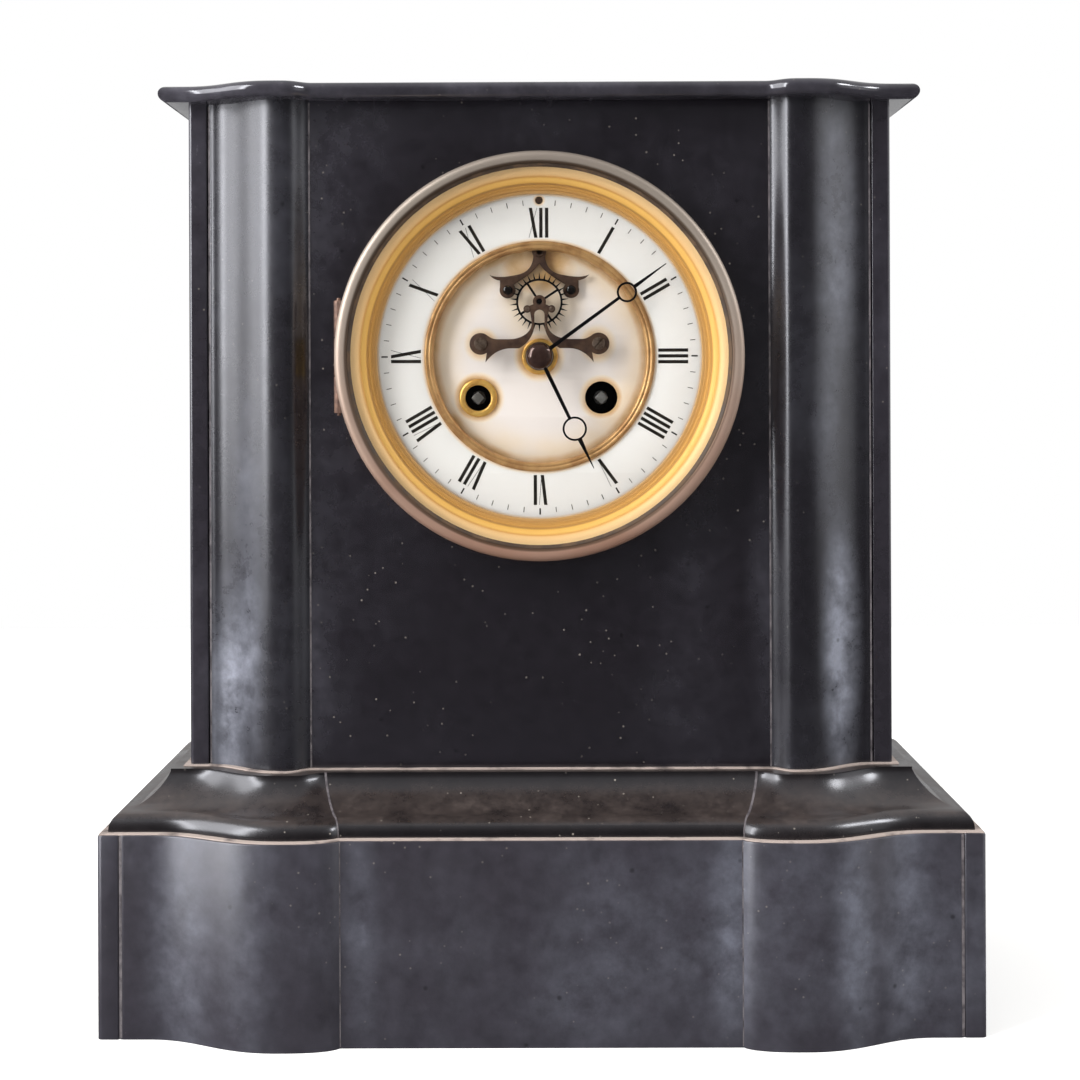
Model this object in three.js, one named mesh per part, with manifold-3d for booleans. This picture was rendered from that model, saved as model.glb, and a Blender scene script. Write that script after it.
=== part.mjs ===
// A mantel clock in a black slate case: serpentine plinth and columns, a round glazed door,
// an enamel dial with the escapement in front of its recessed centre, and a two-train movement.
// Millimetres, +Z up, the dial faces -Y, and the origin is under the middle of the plinth.
import * as THREE from "three";
import { mergeVertices } from "three/addons/utils/BufferGeometryUtils.js";
import Module from "manifold-3d";

const wasm = await Module();
wasm.setup();

// Clearances
const gap = 0.3; // between pieces that seat on each other
const runningGap = 0.3; // round a turning arbor
const slip = 0.35; // between parts that pass each other in motion

// Case: plinth, moulding, body and top
const plinthHalfWidth = 170;
const plinthHeight = 78;
const plinthWall = 22;
const plinthDepth = 163;
const plinthFlatFront = 9.8; // how far the flat middle stands before the corners
const plinthCrest = 15; // how far the swelling stands before the corners
const mouldingHeight = 20;
const mouldingLedge = 3.6; // plinth top that shows round the moulding
const mouldingTopLedge = 6.5; // moulding top that shows round the body
const bodyHalfWidth = 140.5;
const bodyHeight = 264.3;
const bodySetBack = 33; // from the plinth's corners to the body's corners
const bodyBackStep = 8; // from the plinth's back to the body's back
const bodyFlatFront = 8;
const bodyCrest = 14;
const pilasterWidth = 42;
const pilasterDepth = 12; // behind the corner plane
const sideThickness = 7.5;
const panelThickness = 12;
const backThickness = 12;
const topThickness = 6.2;
const topOverhang = 10;
const topBullnose = 2;

// Dial, measured from its centre
const dialBelowTop = 101.3; // from the top of the body
const bezelRadius = 79.8;
const bezelWidth = 5.2;
const bezelFront = 16; // how far the door stands before the panel
const seatRadius = 79;
const seatBore = 71;
const seatFlange = 2.5;
const seatWall = 2.3;
const sightOuter = 75.8;
const sightInner = 64;
const glassThickness = 2;
const chapterOuter = 69.5;
const chapterPastPallets = 3.5; // from the pallet arbor to the chapter ring
const chapterThickness = 1.6;
const chapterRelief = 1; // chapter ring before the panel
const recessDepth = 4; // centre disc behind the panel front
const discThickness = 1.4;
const innerRingWidth = 3;
const panThickness = 1.4;
const centreHole = 6;
const windingHole = 6.45;
const windingX = 24.5;
const windingZ = -16.4;
const regulatorZ = 61.7;
const regulatorRadius = 1.2;

// Movement
const plateRadius = 52;
const plateThickness = 2.5;
const frontPlateGap = 14; // from the panel front to the front plate
const plateSpacing = 38; // between the plates
const pillarRadius = 3;
const arborRadius = 0.9;
const centreArborRadius = 1.3;
const windingArborRadius = 2.7;
const windingSquare = 3.8;
const escapeZ = 21.6;
const palletAboveEscape = 19.9;
const pendulumFloorGap = 28.5; // under the pendulum's lowest point
const ratingThread = 9; // rod below the bob
const pendulumBehindPlate = 12.5;
const palletArborRadius = 1.2;
const hourPipeRadius = 3.4;
const cannonRadius = 2.3;
const drumRadius = 19.5;
const dialFootRadius = 2;
const strapWidth = 8;
const strapThickness = 1.6;

// Hinges and the ring and cover at the back
const knuckleRadius = 1.9;
const hingePinRadius = 0.8;
const rearSleeve = 58;
const rearBore = 55.2;
const rearFlange = 66;
const rearFlangeThickness = 1.8;
const rearCoverRadius = 64;
const rearCoverThickness = 1.4;

// Escapement
const escapeTeeth = 30;
const escapeTip = 11.7;
const escapeRim = 9.2;
const escapeRimWidth = 0.8;
const escapeSpokes = 4;
const palletSpan = 11.5; // teeth between the two pallets
const palletRadius = 0.6;
const palletClearance = 0.2;
const bossRadius = 3.2;
const cockFootX = 23.3;
const cockFootZ = 5;
const cockFootRadius = 4.3;
const cockPostRadius = 2;

// Hands at eight minutes past five
const minuteHandAngle = THREE.MathUtils.degToRad(90 - 54);
const hourHandAngle = THREE.MathUtils.degToRad(90 - 154.3);

// Facets
const ringSides = 28;
const innerSides = 20; // rings and plates out of sight
const drumSides = 16;
const rodSides = 6;
const holeSides = 8;

// Depths: Y of the main faces, front to back
const plinthBackY = plinthDepth / 2;
const plinthCornerY = -plinthDepth / 2 + plinthCrest;
const bodyCornerY = plinthCornerY + bodySetBack;
const bodyBackY = plinthBackY - bodyBackStep;
const panelY = bodyCornerY - bodyFlatFront;
const panelBackY = panelY + panelThickness;
const backInnerY = bodyBackY - backThickness;
const chapterY = panelY - chapterRelief;
const discY = panelY + recessDepth;
const doorBackY = panelY - seatFlange - gap;
const doorFrontY = panelY - bezelFront;
const frontPlateY = panelY + frontPlateGap;
const trainFrontY = frontPlateY + plateThickness;
const backPlateY = trainFrontY + plateSpacing;
const backPlateRearY = backPlateY + plateThickness;
const pendulumY = backPlateRearY + pendulumBehindPlate;
const rearFlangeY = bodyBackY + gap;
const rearCoverY = rearFlangeY + rearFlangeThickness + gap;

// Heights
const floorZ = plinthHeight + mouldingHeight;
const bodyTopZ = floorZ + bodyHeight;
const dialZ = bodyTopZ - dialBelowTop;
const palletZ = escapeZ + palletAboveEscape; // above the dial's centre

// The recess of the dial, just wide enough for the pallet arbor
const chapterInner = palletZ + chapterPastPallets;
const discRadius = chapterInner - 2 * gap;
const innerRingBore = chapterInner - innerRingWidth;

// Finishes
const finish = (color, roughness, metalness) =>
  new THREE.MeshStandardMaterial({ color, roughness, metalness });
const slate = finish(0x26252b, 0.3, 0);
const brass = finish(0xb08d4c, 0.4, 1);
const wornBrass = finish(0x9c958a, 0.45, 1);
const gilt = finish(0xe0b25a, 0.3, 1);
const enamel = finish(0xe6e3df, 0.2, 0);
const bluedSteel = finish(0x15151a, 0.35, 1);
const brownSteel = finish(0x4f3a30, 0.5, 1);
const steel = finish(0x8d8f92, 0.35, 1);
const jewel = finish(0x2a1512, 0.1, 0);
const bellMetal = finish(0xa8a294, 0.3, 1);
const glass = new THREE.MeshStandardMaterial({
  color: 0xffffff, roughness: 0.02, transparent: true, opacity: 0.15,
});

// Solids: a geometry as a closed solid and back, with cuts and joins
function solidOf(geometry) {
  const bare = geometry.index ? geometry.toNonIndexed() : geometry.clone();
  bare.deleteAttribute("normal");
  bare.deleteAttribute("uv");
  const merged = mergeVertices(bare, 1e-4);
  return new wasm.Manifold(new wasm.Mesh({
    numProp: 3,
    vertProperties: merged.attributes.position.array,
    triVerts: new Uint32Array(merged.index.array),
  }));
}

function geometryOf(solid) {
  const mesh = solid.getMesh();
  const geometry = new THREE.BufferGeometry();
  geometry.setAttribute("position", new THREE.BufferAttribute(mesh.vertProperties, 3));
  geometry.setIndex(new THREE.BufferAttribute(mesh.triVerts, 1));
  return geometry;
}

const join = (...pieces) =>
  geometryOf(pieces.map(solidOf).reduce((whole, piece) => whole.add(piece)));
const cut = (piece, ...tools) =>
  geometryOf(tools.map(solidOf).reduce((left, tool) => left.subtract(tool), solidOf(piece)));

// Shapes drawn on the dial plane, X right and Z up, made solid from front to back
function slab(shape, frontY, backY, curveSegments = holeSides) {
  return new THREE.ExtrudeGeometry(shape, { depth: backY - frontY, bevelEnabled: false, curveSegments })
    .rotateX(Math.PI / 2)
    .translate(0, backY, 0);
}

// Shapes drawn on the plan, X right and Y back, made solid upwards
function block(shape, bottomZ, topZ, curveSegments = holeSides) {
  return new THREE.ExtrudeGeometry(shape, { depth: topZ - bottomZ, bevelEnabled: false, curveSegments })
    .translate(0, 0, bottomZ);
}

function box(x0, x1, y0, y1, z0, z1) {
  return new THREE.BoxGeometry(x1 - x0, y1 - y0, z1 - z0)
    .translate((x0 + x1) / 2, (y0 + y1) / 2, (z0 + z1) / 2);
}

// A revolved profile of [radius, Y] pairs about the dial's axis; it closes on itself or ends on the axis
function turned(profile, sides = ringSides) {
  const points = profile.map(([radius, y]) => new THREE.Vector2(radius, y));
  if (THREE.ShapeUtils.area(points) < 0) points.reverse();
  if (points.every((point) => point.x > 0)) points.push(points[0].clone());
  return new THREE.LatheGeometry(points, sides);
}

// A round rod along the dial's axis
function rod(x, z, radius, frontY, backY, sides = rodSides) {
  return new THREE.CylinderGeometry(radius, radius, backY - frontY, sides)
    .translate(x, (frontY + backY) / 2, z);
}

function ring(outer, inner, frontY, backY, sides = ringSides) {
  return turned([[outer, frontY], [outer, backY], [inner, backY], [inner, frontY]], sides);
}

const circle = (x, z, radius, sides) =>
  new THREE.Path().absarc(x, z, radius, 0, 2 * Math.PI).getPoints(sides / 2).slice(1);

// A round plate with holes given as [x, z, radius, sides]
function disc(radius, holes, rimSides = innerSides) {
  const shape = new THREE.Shape(circle(0, 0, radius, rimSides));
  for (const [x, z, bore, sides = holeSides] of holes) {
    shape.holes.push(new THREE.Path(circle(x, z, bore, sides)));
  }
  return shape;
}

// Half of an outline given as a path at x >= 0, with its mirror image
function mirrored(half, divisions) {
  const right = half.getPoints(divisions);
  const left = right.filter((p) => p.x > 1e-6).map((p) => new THREE.Vector2(-p.x, p.y)).reverse();
  return new THREE.Shape([...right, ...left]);
}

const object = new THREE.Group();
object.name = "mantel_clock";
const movement = new THREE.Group();
movement.position.z = dialZ;
object.add(movement);

function place(parent, name, geometry, material, x = 0, z = 0, turn = 0) {
  const mesh = new THREE.Mesh(geometry, material);
  mesh.name = name;
  mesh.position.set(x, 0, z);
  mesh.rotation.y = -turn;
  parent.add(mesh);
  return mesh;
}

// Case outlines. Each plan runs from the back corner along the side, over the corner strip,
// up the column's swelling and back to the flat middle.
function caseFront(path, plan) {
  const rise = plan.riseX - plan.crestX;
  path.lineTo(plan.riseX, plan.cornerY);
  path.bezierCurveTo(
    plan.riseX - 0.38 * rise, plan.cornerY,
    plan.crestX + 0.44 * rise, plan.crestY,
    plan.crestX, plan.crestY,
  );
  path.lineTo(plan.crestEndX, plan.crestY);
  path.bezierCurveTo(
    plan.crestEndX - 0.5 * (plan.crestEndX - plan.flatX), plan.crestY,
    plan.flatX + 0.12 * (plan.crestEndX - plan.flatX), plan.crestY + 0.35 * (plan.flatY - plan.crestY),
    plan.flatX, plan.flatY,
  );
  return path;
}

function casePlan(plan) {
  const half = new THREE.Path();
  half.moveTo(plan.halfWidth, plan.backY);
  half.lineTo(plan.halfWidth, plan.cornerY);
  return mirrored(caseFront(half, plan), 5);
}

// The same plan grown by a distance all round except at the back
const grown = (plan, by) => ({
  halfWidth: plan.halfWidth + by,
  backY: plan.backY,
  cornerY: plan.cornerY - by,
  riseX: plan.riseX + by,
  crestX: plan.crestX + by / 2,
  crestEndX: plan.crestEndX,
  crestY: plan.crestY - by,
  flatX: plan.flatX - by / 4,
  flatY: plan.flatY - by,
});

const pilasterInnerX = bodyHalfWidth - sideThickness - pilasterWidth;
const bodyPlan = {
  halfWidth: bodyHalfWidth,
  backY: bodyBackY,
  cornerY: bodyCornerY,
  riseX: bodyHalfWidth - sideThickness - 1,
  crestX: pilasterInnerX + 14,
  crestEndX: pilasterInnerX + 7,
  crestY: bodyCornerY - bodyCrest,
  flatX: pilasterInnerX,
  flatY: panelY,
};
const plinthPlan = {
  halfWidth: plinthHalfWidth,
  backY: plinthBackY,
  cornerY: plinthCornerY,
  riseX: plinthHalfWidth - 20,
  crestX: plinthHalfWidth - 70,
  crestEndX: plinthHalfWidth - 74,
  crestY: plinthCornerY - plinthCrest,
  flatX: plinthHalfWidth - 93.9,
  flatY: plinthCornerY - plinthFlatFront,
};

// A closed skin through outlines that have the same number of points, flat at both ends
function loft(rings) {
  const count = rings[0].length;
  const positions = rings.flatMap((points) => points.flatMap((p) => [p.x, p.y, p.z]));
  const faces = [];
  for (let level = 0; level + 1 < rings.length; level++) {
    for (let i = 0; i < count; i++) {
      const a = level * count + i;
      const b = level * count + ((i + 1) % count);
      faces.push(a, b, b + count, a, b + count, a + count);
    }
  }
  const capOf = (points) =>
    THREE.ShapeUtils.triangulateShape(points.map((p) => new THREE.Vector2(p.x, p.y)), []);
  const top = (rings.length - 1) * count;
  for (const [a, b, c] of capOf(rings[0])) faces.push(c, b, a);
  for (const [a, b, c] of capOf(rings.at(-1))) faces.push(top + a, top + b, top + c);
  const geometry = new THREE.BufferGeometry();
  geometry.setAttribute("position", new THREE.Float32BufferAttribute(positions, 3));
  geometry.setIndex(faces);
  return geometry;
}

// The points of a plan at a height, counter-clockwise seen from above
function outlineAt(plan, z) {
  const points = casePlan(plan).getPoints().map((p) => new THREE.Vector3(p.x, p.y, z));
  return THREE.ShapeUtils.area(points) < 0 ? points.reverse() : points;
}

function makeCase() {
  const plinth = casePlan(plinthPlan);
  const inner = plinthHalfWidth - plinthWall;
  const hollow = new THREE.Path()
    .moveTo(-inner, plinthCornerY + plinthWall)
    .lineTo(inner, plinthCornerY + plinthWall)
    .lineTo(inner, plinthBackY - plinthWall)
    .lineTo(-inner, plinthBackY - plinthWall);
  plinth.holes.push(hollow);
  place(object, "base_plinth", block(plinth, 0, plinthHeight), slate);

  // Round-and-hollow profile: a fillet, a round that runs in, then a hollow up to the body.
  // At the top the swelling's inner end stands out from the column by the whole ledge.
  const foot = { ...grown(plinthPlan, -mouldingLedge), backY: plinthBackY };
  const head = {
    ...grown(bodyPlan, mouldingTopLedge),
    crestEndX: bodyPlan.crestEndX - mouldingTopLedge / 2,
    flatX: bodyPlan.flatX - mouldingTopLedge,
    backY: plinthBackY,
  };
  const profile = new THREE.Path();
  profile.moveTo(0, 0);
  profile.lineTo(0, 0.1);
  profile.bezierCurveTo(0, 0.26, 0.12, 0.3, 0.3, 0.34);
  profile.bezierCurveTo(0.55, 0.41, 0.86, 0.64, 1, 0.95);
  profile.lineTo(1, 1);
  const footRing = outlineAt(foot, 0);
  const headRing = outlineAt(head, 0);
  const rings = profile.getPoints(3).map((p) => footRing.map((point, i) => {
    const at = point.clone().lerp(headRing[i], p.x);
    return at.setZ(plinthHeight + p.y * mouldingHeight);
  }));
  place(object, "base_moulding", loft(rings), slate);

  const panel = new THREE.Shape()
    .moveTo(-pilasterInnerX, floorZ)
    .lineTo(pilasterInnerX, floorZ)
    .lineTo(pilasterInnerX, bodyTopZ)
    .lineTo(-pilasterInnerX, bodyTopZ);
  panel.holes.push(new THREE.Path(circle(0, dialZ, seatBore + seatWall + gap, ringSides)));
  place(object, "front_panel", slab(panel, panelY, panelBackY), slate);

  const sideX = bodyHalfWidth - sideThickness;
  const pilasterBackY = bodyCornerY + pilasterDepth;
  for (const [side, sign] of [["left", -1], ["right", 1]]) {
    const column = new THREE.Path();
    column.moveTo(sideX, pilasterBackY);
    column.lineTo(sideX, bodyCornerY);
    caseFront(column, bodyPlan);
    column.lineTo(pilasterInnerX, pilasterBackY);
    const plan = column.getPoints(8).map((p) => new THREE.Vector2(sign * p.x, p.y));
    place(object, `${side}_pilaster`, block(new THREE.Shape(plan), floorZ, bodyTopZ), slate);
    const [x0, x1] = [sign * sideX, sign * bodyHalfWidth].sort((a, b) => a - b);
    place(object, `${side}_side_slab`, box(x0, x1, bodyCornerY, bodyBackY, floorZ, bodyTopZ), slate);
  }

  const back = new THREE.Shape()
    .moveTo(-sideX, floorZ)
    .lineTo(sideX, floorZ)
    .lineTo(sideX, bodyTopZ)
    .lineTo(-sideX, bodyTopZ);
  back.holes.push(new THREE.Path(circle(0, dialZ, rearSleeve + gap, innerSides)));
  place(object, "back_panel", slab(back, backInnerY, bodyBackY), slate);

  const topPlan = grown(bodyPlan, topOverhang);
  const steps = 4;
  const topRings = [];
  for (let i = 0; i <= steps; i++) {
    const turn = (i / steps - 0.5) * Math.PI;
    const inset = topBullnose * (1 - Math.cos(turn));
    topRings.push(outlineAt(grown(topPlan, -inset), bodyTopZ + (topThickness / 2) * (1 + Math.sin(turn))));
  }
  place(object, "top_slab", loft(topRings), slate);
}

// The front door's hinge and the rear cover's hinge: knuckles in thirds on one pin along Z
const frontHinge = {
  x: -(bezelRadius - 1.3),
  y: (doorFrontY + doorBackY) / 2 + 0.9,
  half: 22,
};
const rearHinge = { x: rearFlange + 2.6, y: rearCoverY + 1, half: 16 };
const middleOf = (hinge) => hinge.half / 3;

function pinAt(hinge, radius, z0, z1, sides = rodSides) {
  return new THREE.CylinderGeometry(radius, radius, z1 - z0, sides)
    .rotateX(Math.PI / 2)
    .translate(hinge.x, hinge.y, (z0 + z1) / 2);
}

// A plate with the fixed middle knuckle on a leaf
function withFixedKnuckle(hinge, plate, ...leaves) {
  const middle = middleOf(hinge);
  const knuckle = pinAt(hinge, knuckleRadius, -middle, middle, holeSides);
  const bore = pinAt(hinge, hingePinRadius + runningGap, -middle - 1, middle + 1);
  return cut(join(plate, knuckle, ...leaves), bore);
}

// A swinging plate with the two outer knuckles, and room for the middle one
function withSwingingKnuckles(hinge, plate, leaf, room) {
  const middle = middleOf(hinge) + slip;
  const knuckles = pinAt(hinge, knuckleRadius, -hinge.half, hinge.half, holeSides);
  const bore = pinAt(hinge, hingePinRadius + runningGap, -hinge.half - 1, hinge.half + 1);
  const clear = pinAt(hinge, knuckleRadius + slip, -middle, middle, holeSides);
  return cut(join(plate, knuckles, leaf), bore, clear, room);
}

function makeFrontDoor() {
  const seat = turned([
    [seatRadius, panelY - seatFlange],
    [seatRadius, panelY - gap],
    [seatBore + seatWall, panelY - gap],
    [seatBore + seatWall, panelBackY],
    [seatBore, panelBackY],
    [seatBore, panelY - seatFlange],
  ]);
  // The fixed knuckle stands on a post, which reaches it through a notch in the back of the door ring
  const middle = middleOf(frontHinge);
  const post = box(frontHinge.x - 1, frontHinge.x + knuckleRadius, frontHinge.y, panelY - gap, -middle, middle);
  place(movement, "bezel_seat", withFixedKnuckle(frontHinge, seat, post), brass);
  const pinHalf = frontHinge.half + 1;
  place(movement, "door_hinge_pin", pinAt(frontHinge, hingePinRadius, -pinHalf, pinHalf), brass);

  // A rounded ring with a lip before the glass and a rebate behind it
  const lip = bezelRadius - bezelWidth;
  const glassFrontY = doorFrontY + 1.9;
  const bezel = turned([
    [lip, doorFrontY],
    [bezelRadius - 1.6, doorFrontY],
    [bezelRadius, doorFrontY + 1.8],
    [bezelRadius, doorBackY],
    [sightOuter + gap, doorBackY],
    [sightOuter + gap, glassFrontY - gap],
    [lip, glassFrontY - gap],
  ]);
  const leaf = box(frontHinge.x, 6 - bezelRadius, frontHinge.y - 3, frontHinge.y + 3,
    -frontHinge.half, frontHinge.half);
  const leafCore = cut(leaf, rod(0, 0, sightOuter + gap, doorFrontY, doorBackY, ringSides));
  const notch = box(-bezelRadius - knuckleRadius, -sightOuter, frontHinge.y - knuckleRadius - slip, doorBackY + gap,
    -middle - slip, middle + slip);
  place(movement, "door_bezel", withSwingingKnuckles(frontHinge, bezel, leafCore, notch), wornBrass);

  const glassBackY = glassFrontY + glassThickness;
  place(movement, "door_glass", rod(0, 0, sightOuter, glassFrontY, glassBackY, ringSides), glass);

  // Spun gilt ring in steps from the glass down to the dial
  const sightFrontY = glassBackY + gap;
  const sight = turned([
    [sightOuter, sightFrontY],
    [sightOuter - 2, sightFrontY],
    [sightOuter - 5, sightFrontY + 2],
    [sightInner + 3.2, sightFrontY + 5.8],
    [sightInner + 2.4, sightFrontY + 6.9],
    [sightInner, sightFrontY + 7.8],
    [sightInner, sightFrontY + 8.6],
    [sightInner + 3, sightFrontY + 8.2],
    [sightOuter, sightFrontY + 1.6],
  ]);
  place(movement, "sight_ring", sight, gilt);
}

function makeDial() {
  const chapterBackY = chapterY + chapterThickness;
  const regulatorBore = [0, regulatorZ, regulatorRadius + runningGap];
  const chapter = disc(chapterOuter, [[0, 0, chapterInner, ringSides], regulatorBore], ringSides);
  place(movement, "chapter_ring", slab(chapter, chapterY, chapterBackY), enamel);

  // The gilt ring hooks over the edge of the chapter ring
  const edge = chapterY - gap;
  place(movement, "dial_inner_ring", turned([
    [chapterInner + 0.6, edge],
    [chapterInner - 0.6, edge - 1],
    [innerRingBore + 0.5, edge - 0.6],
    [innerRingBore, chapterBackY],
    [chapterInner - gap, chapterBackY],
    [chapterInner - gap, edge],
  ]), gilt);

  // A pressed cup: a rim behind the chapter ring, a wall and a shelf behind the centre disc
  const discBackY = discY + discThickness;
  const panFrontY = chapterBackY + gap;
  const wall = discRadius + gap;
  const shelfY = discBackY + gap;
  const rim = seatBore - 1;
  const pan = turned([
    [rim, panFrontY],
    [rim, panFrontY + panThickness],
    [wall + panThickness, panFrontY + panThickness],
    [wall + panThickness, shelfY + panThickness],
    [wall - 6.5, shelfY + panThickness],
    [wall - 6.5, shelfY],
    [wall, shelfY],
    [wall, panFrontY],
  ], innerSides);
  const feet = [-90, 30, 150].map((degrees) => {
    const turn = THREE.MathUtils.degToRad(degrees);
    const reach = wall - 2;
    return rod(reach * Math.cos(turn), reach * Math.sin(turn), dialFootRadius, shelfY, frontPlateY - gap);
  });
  place(movement, "dial_pan", cut(
    join(pan, ...feet),
    rod(0, regulatorZ, regulatorRadius + runningGap, panFrontY - 1, panFrontY + panThickness + 1),
    rod(0, palletZ, palletArborRadius + 1, shelfY - 1, shelfY + panThickness + 1),
  ), brass);

  const face = disc(discRadius, [
    [0, 0, centreHole, drumSides],
    [windingX, windingZ, windingHole, drumSides],
    [-windingX, windingZ, windingHole, drumSides],
    [cockFootX, cockFootZ, cockPostRadius + runningGap],
    [-cockFootX, cockFootZ, cockPostRadius + runningGap],
    [0, escapeZ, arborRadius + 1],
    [0, palletZ, palletArborRadius + 1],
  ]);
  place(movement, "dial_centre_disc", slab(face, discY, discBackY), enamel);
  const collet = (flange, bore, sleeve) => turned([
    [flange, discY - gap],
    [sleeve, discY - gap],
    [sleeve, discBackY],
    [bore, discBackY],
    [bore, discY - gap - 1],
    [flange - 0.8, discY - gap - 1],
  ], drumSides);
  place(movement, "centre_collet", collet(7.2, hourPipeRadius + 0.8, centreHole - gap), gilt);
  place(movement, "strike_winding_collet",
    collet(7.6, windingHole - 0.95, windingHole - gap), gilt, -windingX, windingZ);
}

// Toothed outlines. Wheels have pointed teeth, pinions have tapered leaves.
const wheelAddendum = 1.05; // in modules
const wheelDedendum = 1.6;

function wheelTeeth(teeth, module) {
  const pitch = (2 * Math.PI) / teeth;
  const tip = module * (teeth / 2 + wheelAddendum);
  const root = module * (teeth / 2 - wheelDedendum);
  const points = [];
  for (let i = 0; i < teeth; i++) {
    for (const [radius, side] of [[tip, 0], [root, 0.5]]) {
      const turn = (i + side) * pitch;
      points.push(new THREE.Vector2(radius * Math.cos(turn), radius * Math.sin(turn)));
    }
  }
  return points;
}

function pinionLeaves(leaves, module) {
  const half = 0.17 * Math.PI * module;
  const tip = module * (leaves / 2 + 0.7);
  const root = module * (leaves / 2 - 1.35);
  const points = [];
  for (let i = 0; i < leaves; i++) {
    const turn = (i * 2 * Math.PI) / leaves;
    for (const [radius, across] of [[root, -half], [tip, -half / 2], [tip, half / 2], [root, half]]) {
      const along = Math.sqrt(Math.max(radius * radius - across * across, 0.01));
      points.push(new THREE.Vector2(along, across).rotateAround(new THREE.Vector2(), turn));
    }
  }
  return points;
}

// Windows between the spokes of a wheel
function crossings(shape, rim, hub, spokes, spokeWidth, phase = 0) {
  for (let i = 0; i < spokes; i++) {
    const start = phase + (i * 2 * Math.PI) / spokes;
    const end = phase + ((i + 1) * 2 * Math.PI) / spokes;
    const outer = Math.asin(spokeWidth / 2 / rim);
    const inner = Math.asin(spokeWidth / 2 / hub);
    const window = new THREE.Path();
    window.absarc(0, 0, rim, start + outer, end - outer, false);
    window.absarc(0, 0, hub, end - inner, start + inner, true);
    shape.holes.push(new THREE.Path(window.getPoints(1)));
  }
  return shape;
}

const wheelThickness = 1.2;

// A crossed wheel with its teeth, at a depth
function trainWheel({ teeth, module, y, hub = 2.6, rim = 1.4, spokes = 4, spokeWidth = 1.4 }) {
  const shape = new THREE.Shape(wheelTeeth(teeth, module));
  crossings(shape, module * (teeth / 2 - wheelDedendum) - rim, hub, spokes, spokeWidth);
  return slab(shape, y, y + wheelThickness);
}

const pinion = (leaves, module, y0, y1) => slab(new THREE.Shape(pinionLeaves(leaves, module)), y0, y1);

// The angle at which gear B, in direction phi from gear A, has a gap where A has a tooth
function meshAngle(angleA, teethA, phi, teethB) {
  const share = (((phi - angleA) * teethA) / (2 * Math.PI)) % 1;
  return phi + Math.PI - ((0.5 - share) * 2 * Math.PI) / teethB;
}

const direction = (from, to) => Math.atan2(to.z - from.z, to.x - from.x);
const turnAt = (a, teethA, b, teethB) => meshAngle(a.turn, teethA, direction(a, b), teethB);

// The point at given distances from two others, on the left of the line from the first to the second
function meet(a, distanceA, b, distanceB) {
  const length = Math.hypot(b.x - a.x, b.z - a.z);
  const along = (distanceA ** 2 + length ** 2 - distanceB ** 2) / (2 * length);
  const aside = Math.sqrt(distanceA ** 2 - along ** 2);
  const ux = (b.x - a.x) / length;
  const uz = (b.z - a.z) / length;
  return { x: a.x + along * ux - aside * uz, z: a.z + along * uz + aside * ux };
}

// The point at a distance from another, in a direction given in degrees
function outFrom(from, distance, degrees) {
  const turn = THREE.MathUtils.degToRad(degrees);
  return { x: from.x + distance * Math.cos(turn), z: from.z + distance * Math.sin(turn) };
}

// Train sizes: teeth of each wheel, leaves of the pinion it drives, and module
const barrelGear = { teeth: 54, leaves: 9, module: 0.8 };
const intermediateGear = { teeth: 48, leaves: 8, module: 0.62 };
const centreGear = { teeth: 80, leaves: 6, module: 0.38 };
const thirdGear = { teeth: 72, leaves: 6, module: 0.34 };
const cannonGear = { teeth: 36, leaves: 12, module: 0.5 };
const hourGear = { teeth: 40, leaves: 10, module: 0.48 };
const pinGear = { teeth: 48, leaves: 8, module: 0.5 };
const warningGear = { teeth: 42, leaves: 6, module: 0.4 };
const meshDistance = (gear) => (gear.module * (gear.teeth + gear.leaves)) / 2;

// Where each arbor stands, and its turn at rest
const centre = { x: 0, z: 0, turn: 0 };
const goingBarrel = { x: windingX, z: windingZ };
const strikeBarrel = { x: -windingX, z: windingZ };
const escape = { x: 0, z: escapeZ };
const intermediate = meet(centre, meshDistance(intermediateGear), goingBarrel, meshDistance(barrelGear));
const third = meet(centre, meshDistance(centreGear), escape, meshDistance(thirdGear));
const minuteWheel = { x: 0, z: -meshDistance(cannonGear) };
const pinWheel = { ...outFrom(strikeBarrel, meshDistance(barrelGear), 117), turn: 0 };
const warning = outFrom(pinWheel, meshDistance(pinGear), 69);
const fly = outFrom(warning, meshDistance(warningGear), 72);
const hammerPivot = { x: -42, z: 24 };
intermediate.turn = turnAt(centre, intermediateGear.leaves, intermediate, intermediateGear.teeth);
goingBarrel.turn = turnAt(intermediate, barrelGear.leaves, goingBarrel, barrelGear.teeth);
third.turn = turnAt(centre, centreGear.teeth, third, centreGear.leaves);
escape.turn = turnAt(third, thirdGear.teeth, escape, thirdGear.leaves);
minuteWheel.turn = turnAt(centre, cannonGear.leaves, minuteWheel, cannonGear.teeth);
centre.hourTurn = turnAt(minuteWheel, hourGear.leaves, centre, hourGear.teeth);
strikeBarrel.turn = turnAt(pinWheel, barrelGear.leaves, strikeBarrel, barrelGear.teeth);
warning.turn = turnAt(pinWheel, pinGear.teeth, warning, pinGear.leaves);
fly.turn = turnAt(warning, warningGear.teeth, fly, warningGear.leaves);

// Layers of the train between the plates
const pivotFrontY = frontPlateY + 0.5;
const pivotBackY = backPlateRearY - 0.5;
const greatWheelY = trainFrontY + 8;
const greatWheelThickness = 2.4;
const drumBackY = trainFrontY + 32.5;
const intermediateY = trainFrontY + 2.5;
const centreWheelY = trainFrontY + 34.3;
const thirdWheelY = trainFrontY + 22;
const warningWheelY = trainFrontY + 25;
const pinionPastWheel = 0.8; // how far a pinion stands past its wheel on each side

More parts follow.
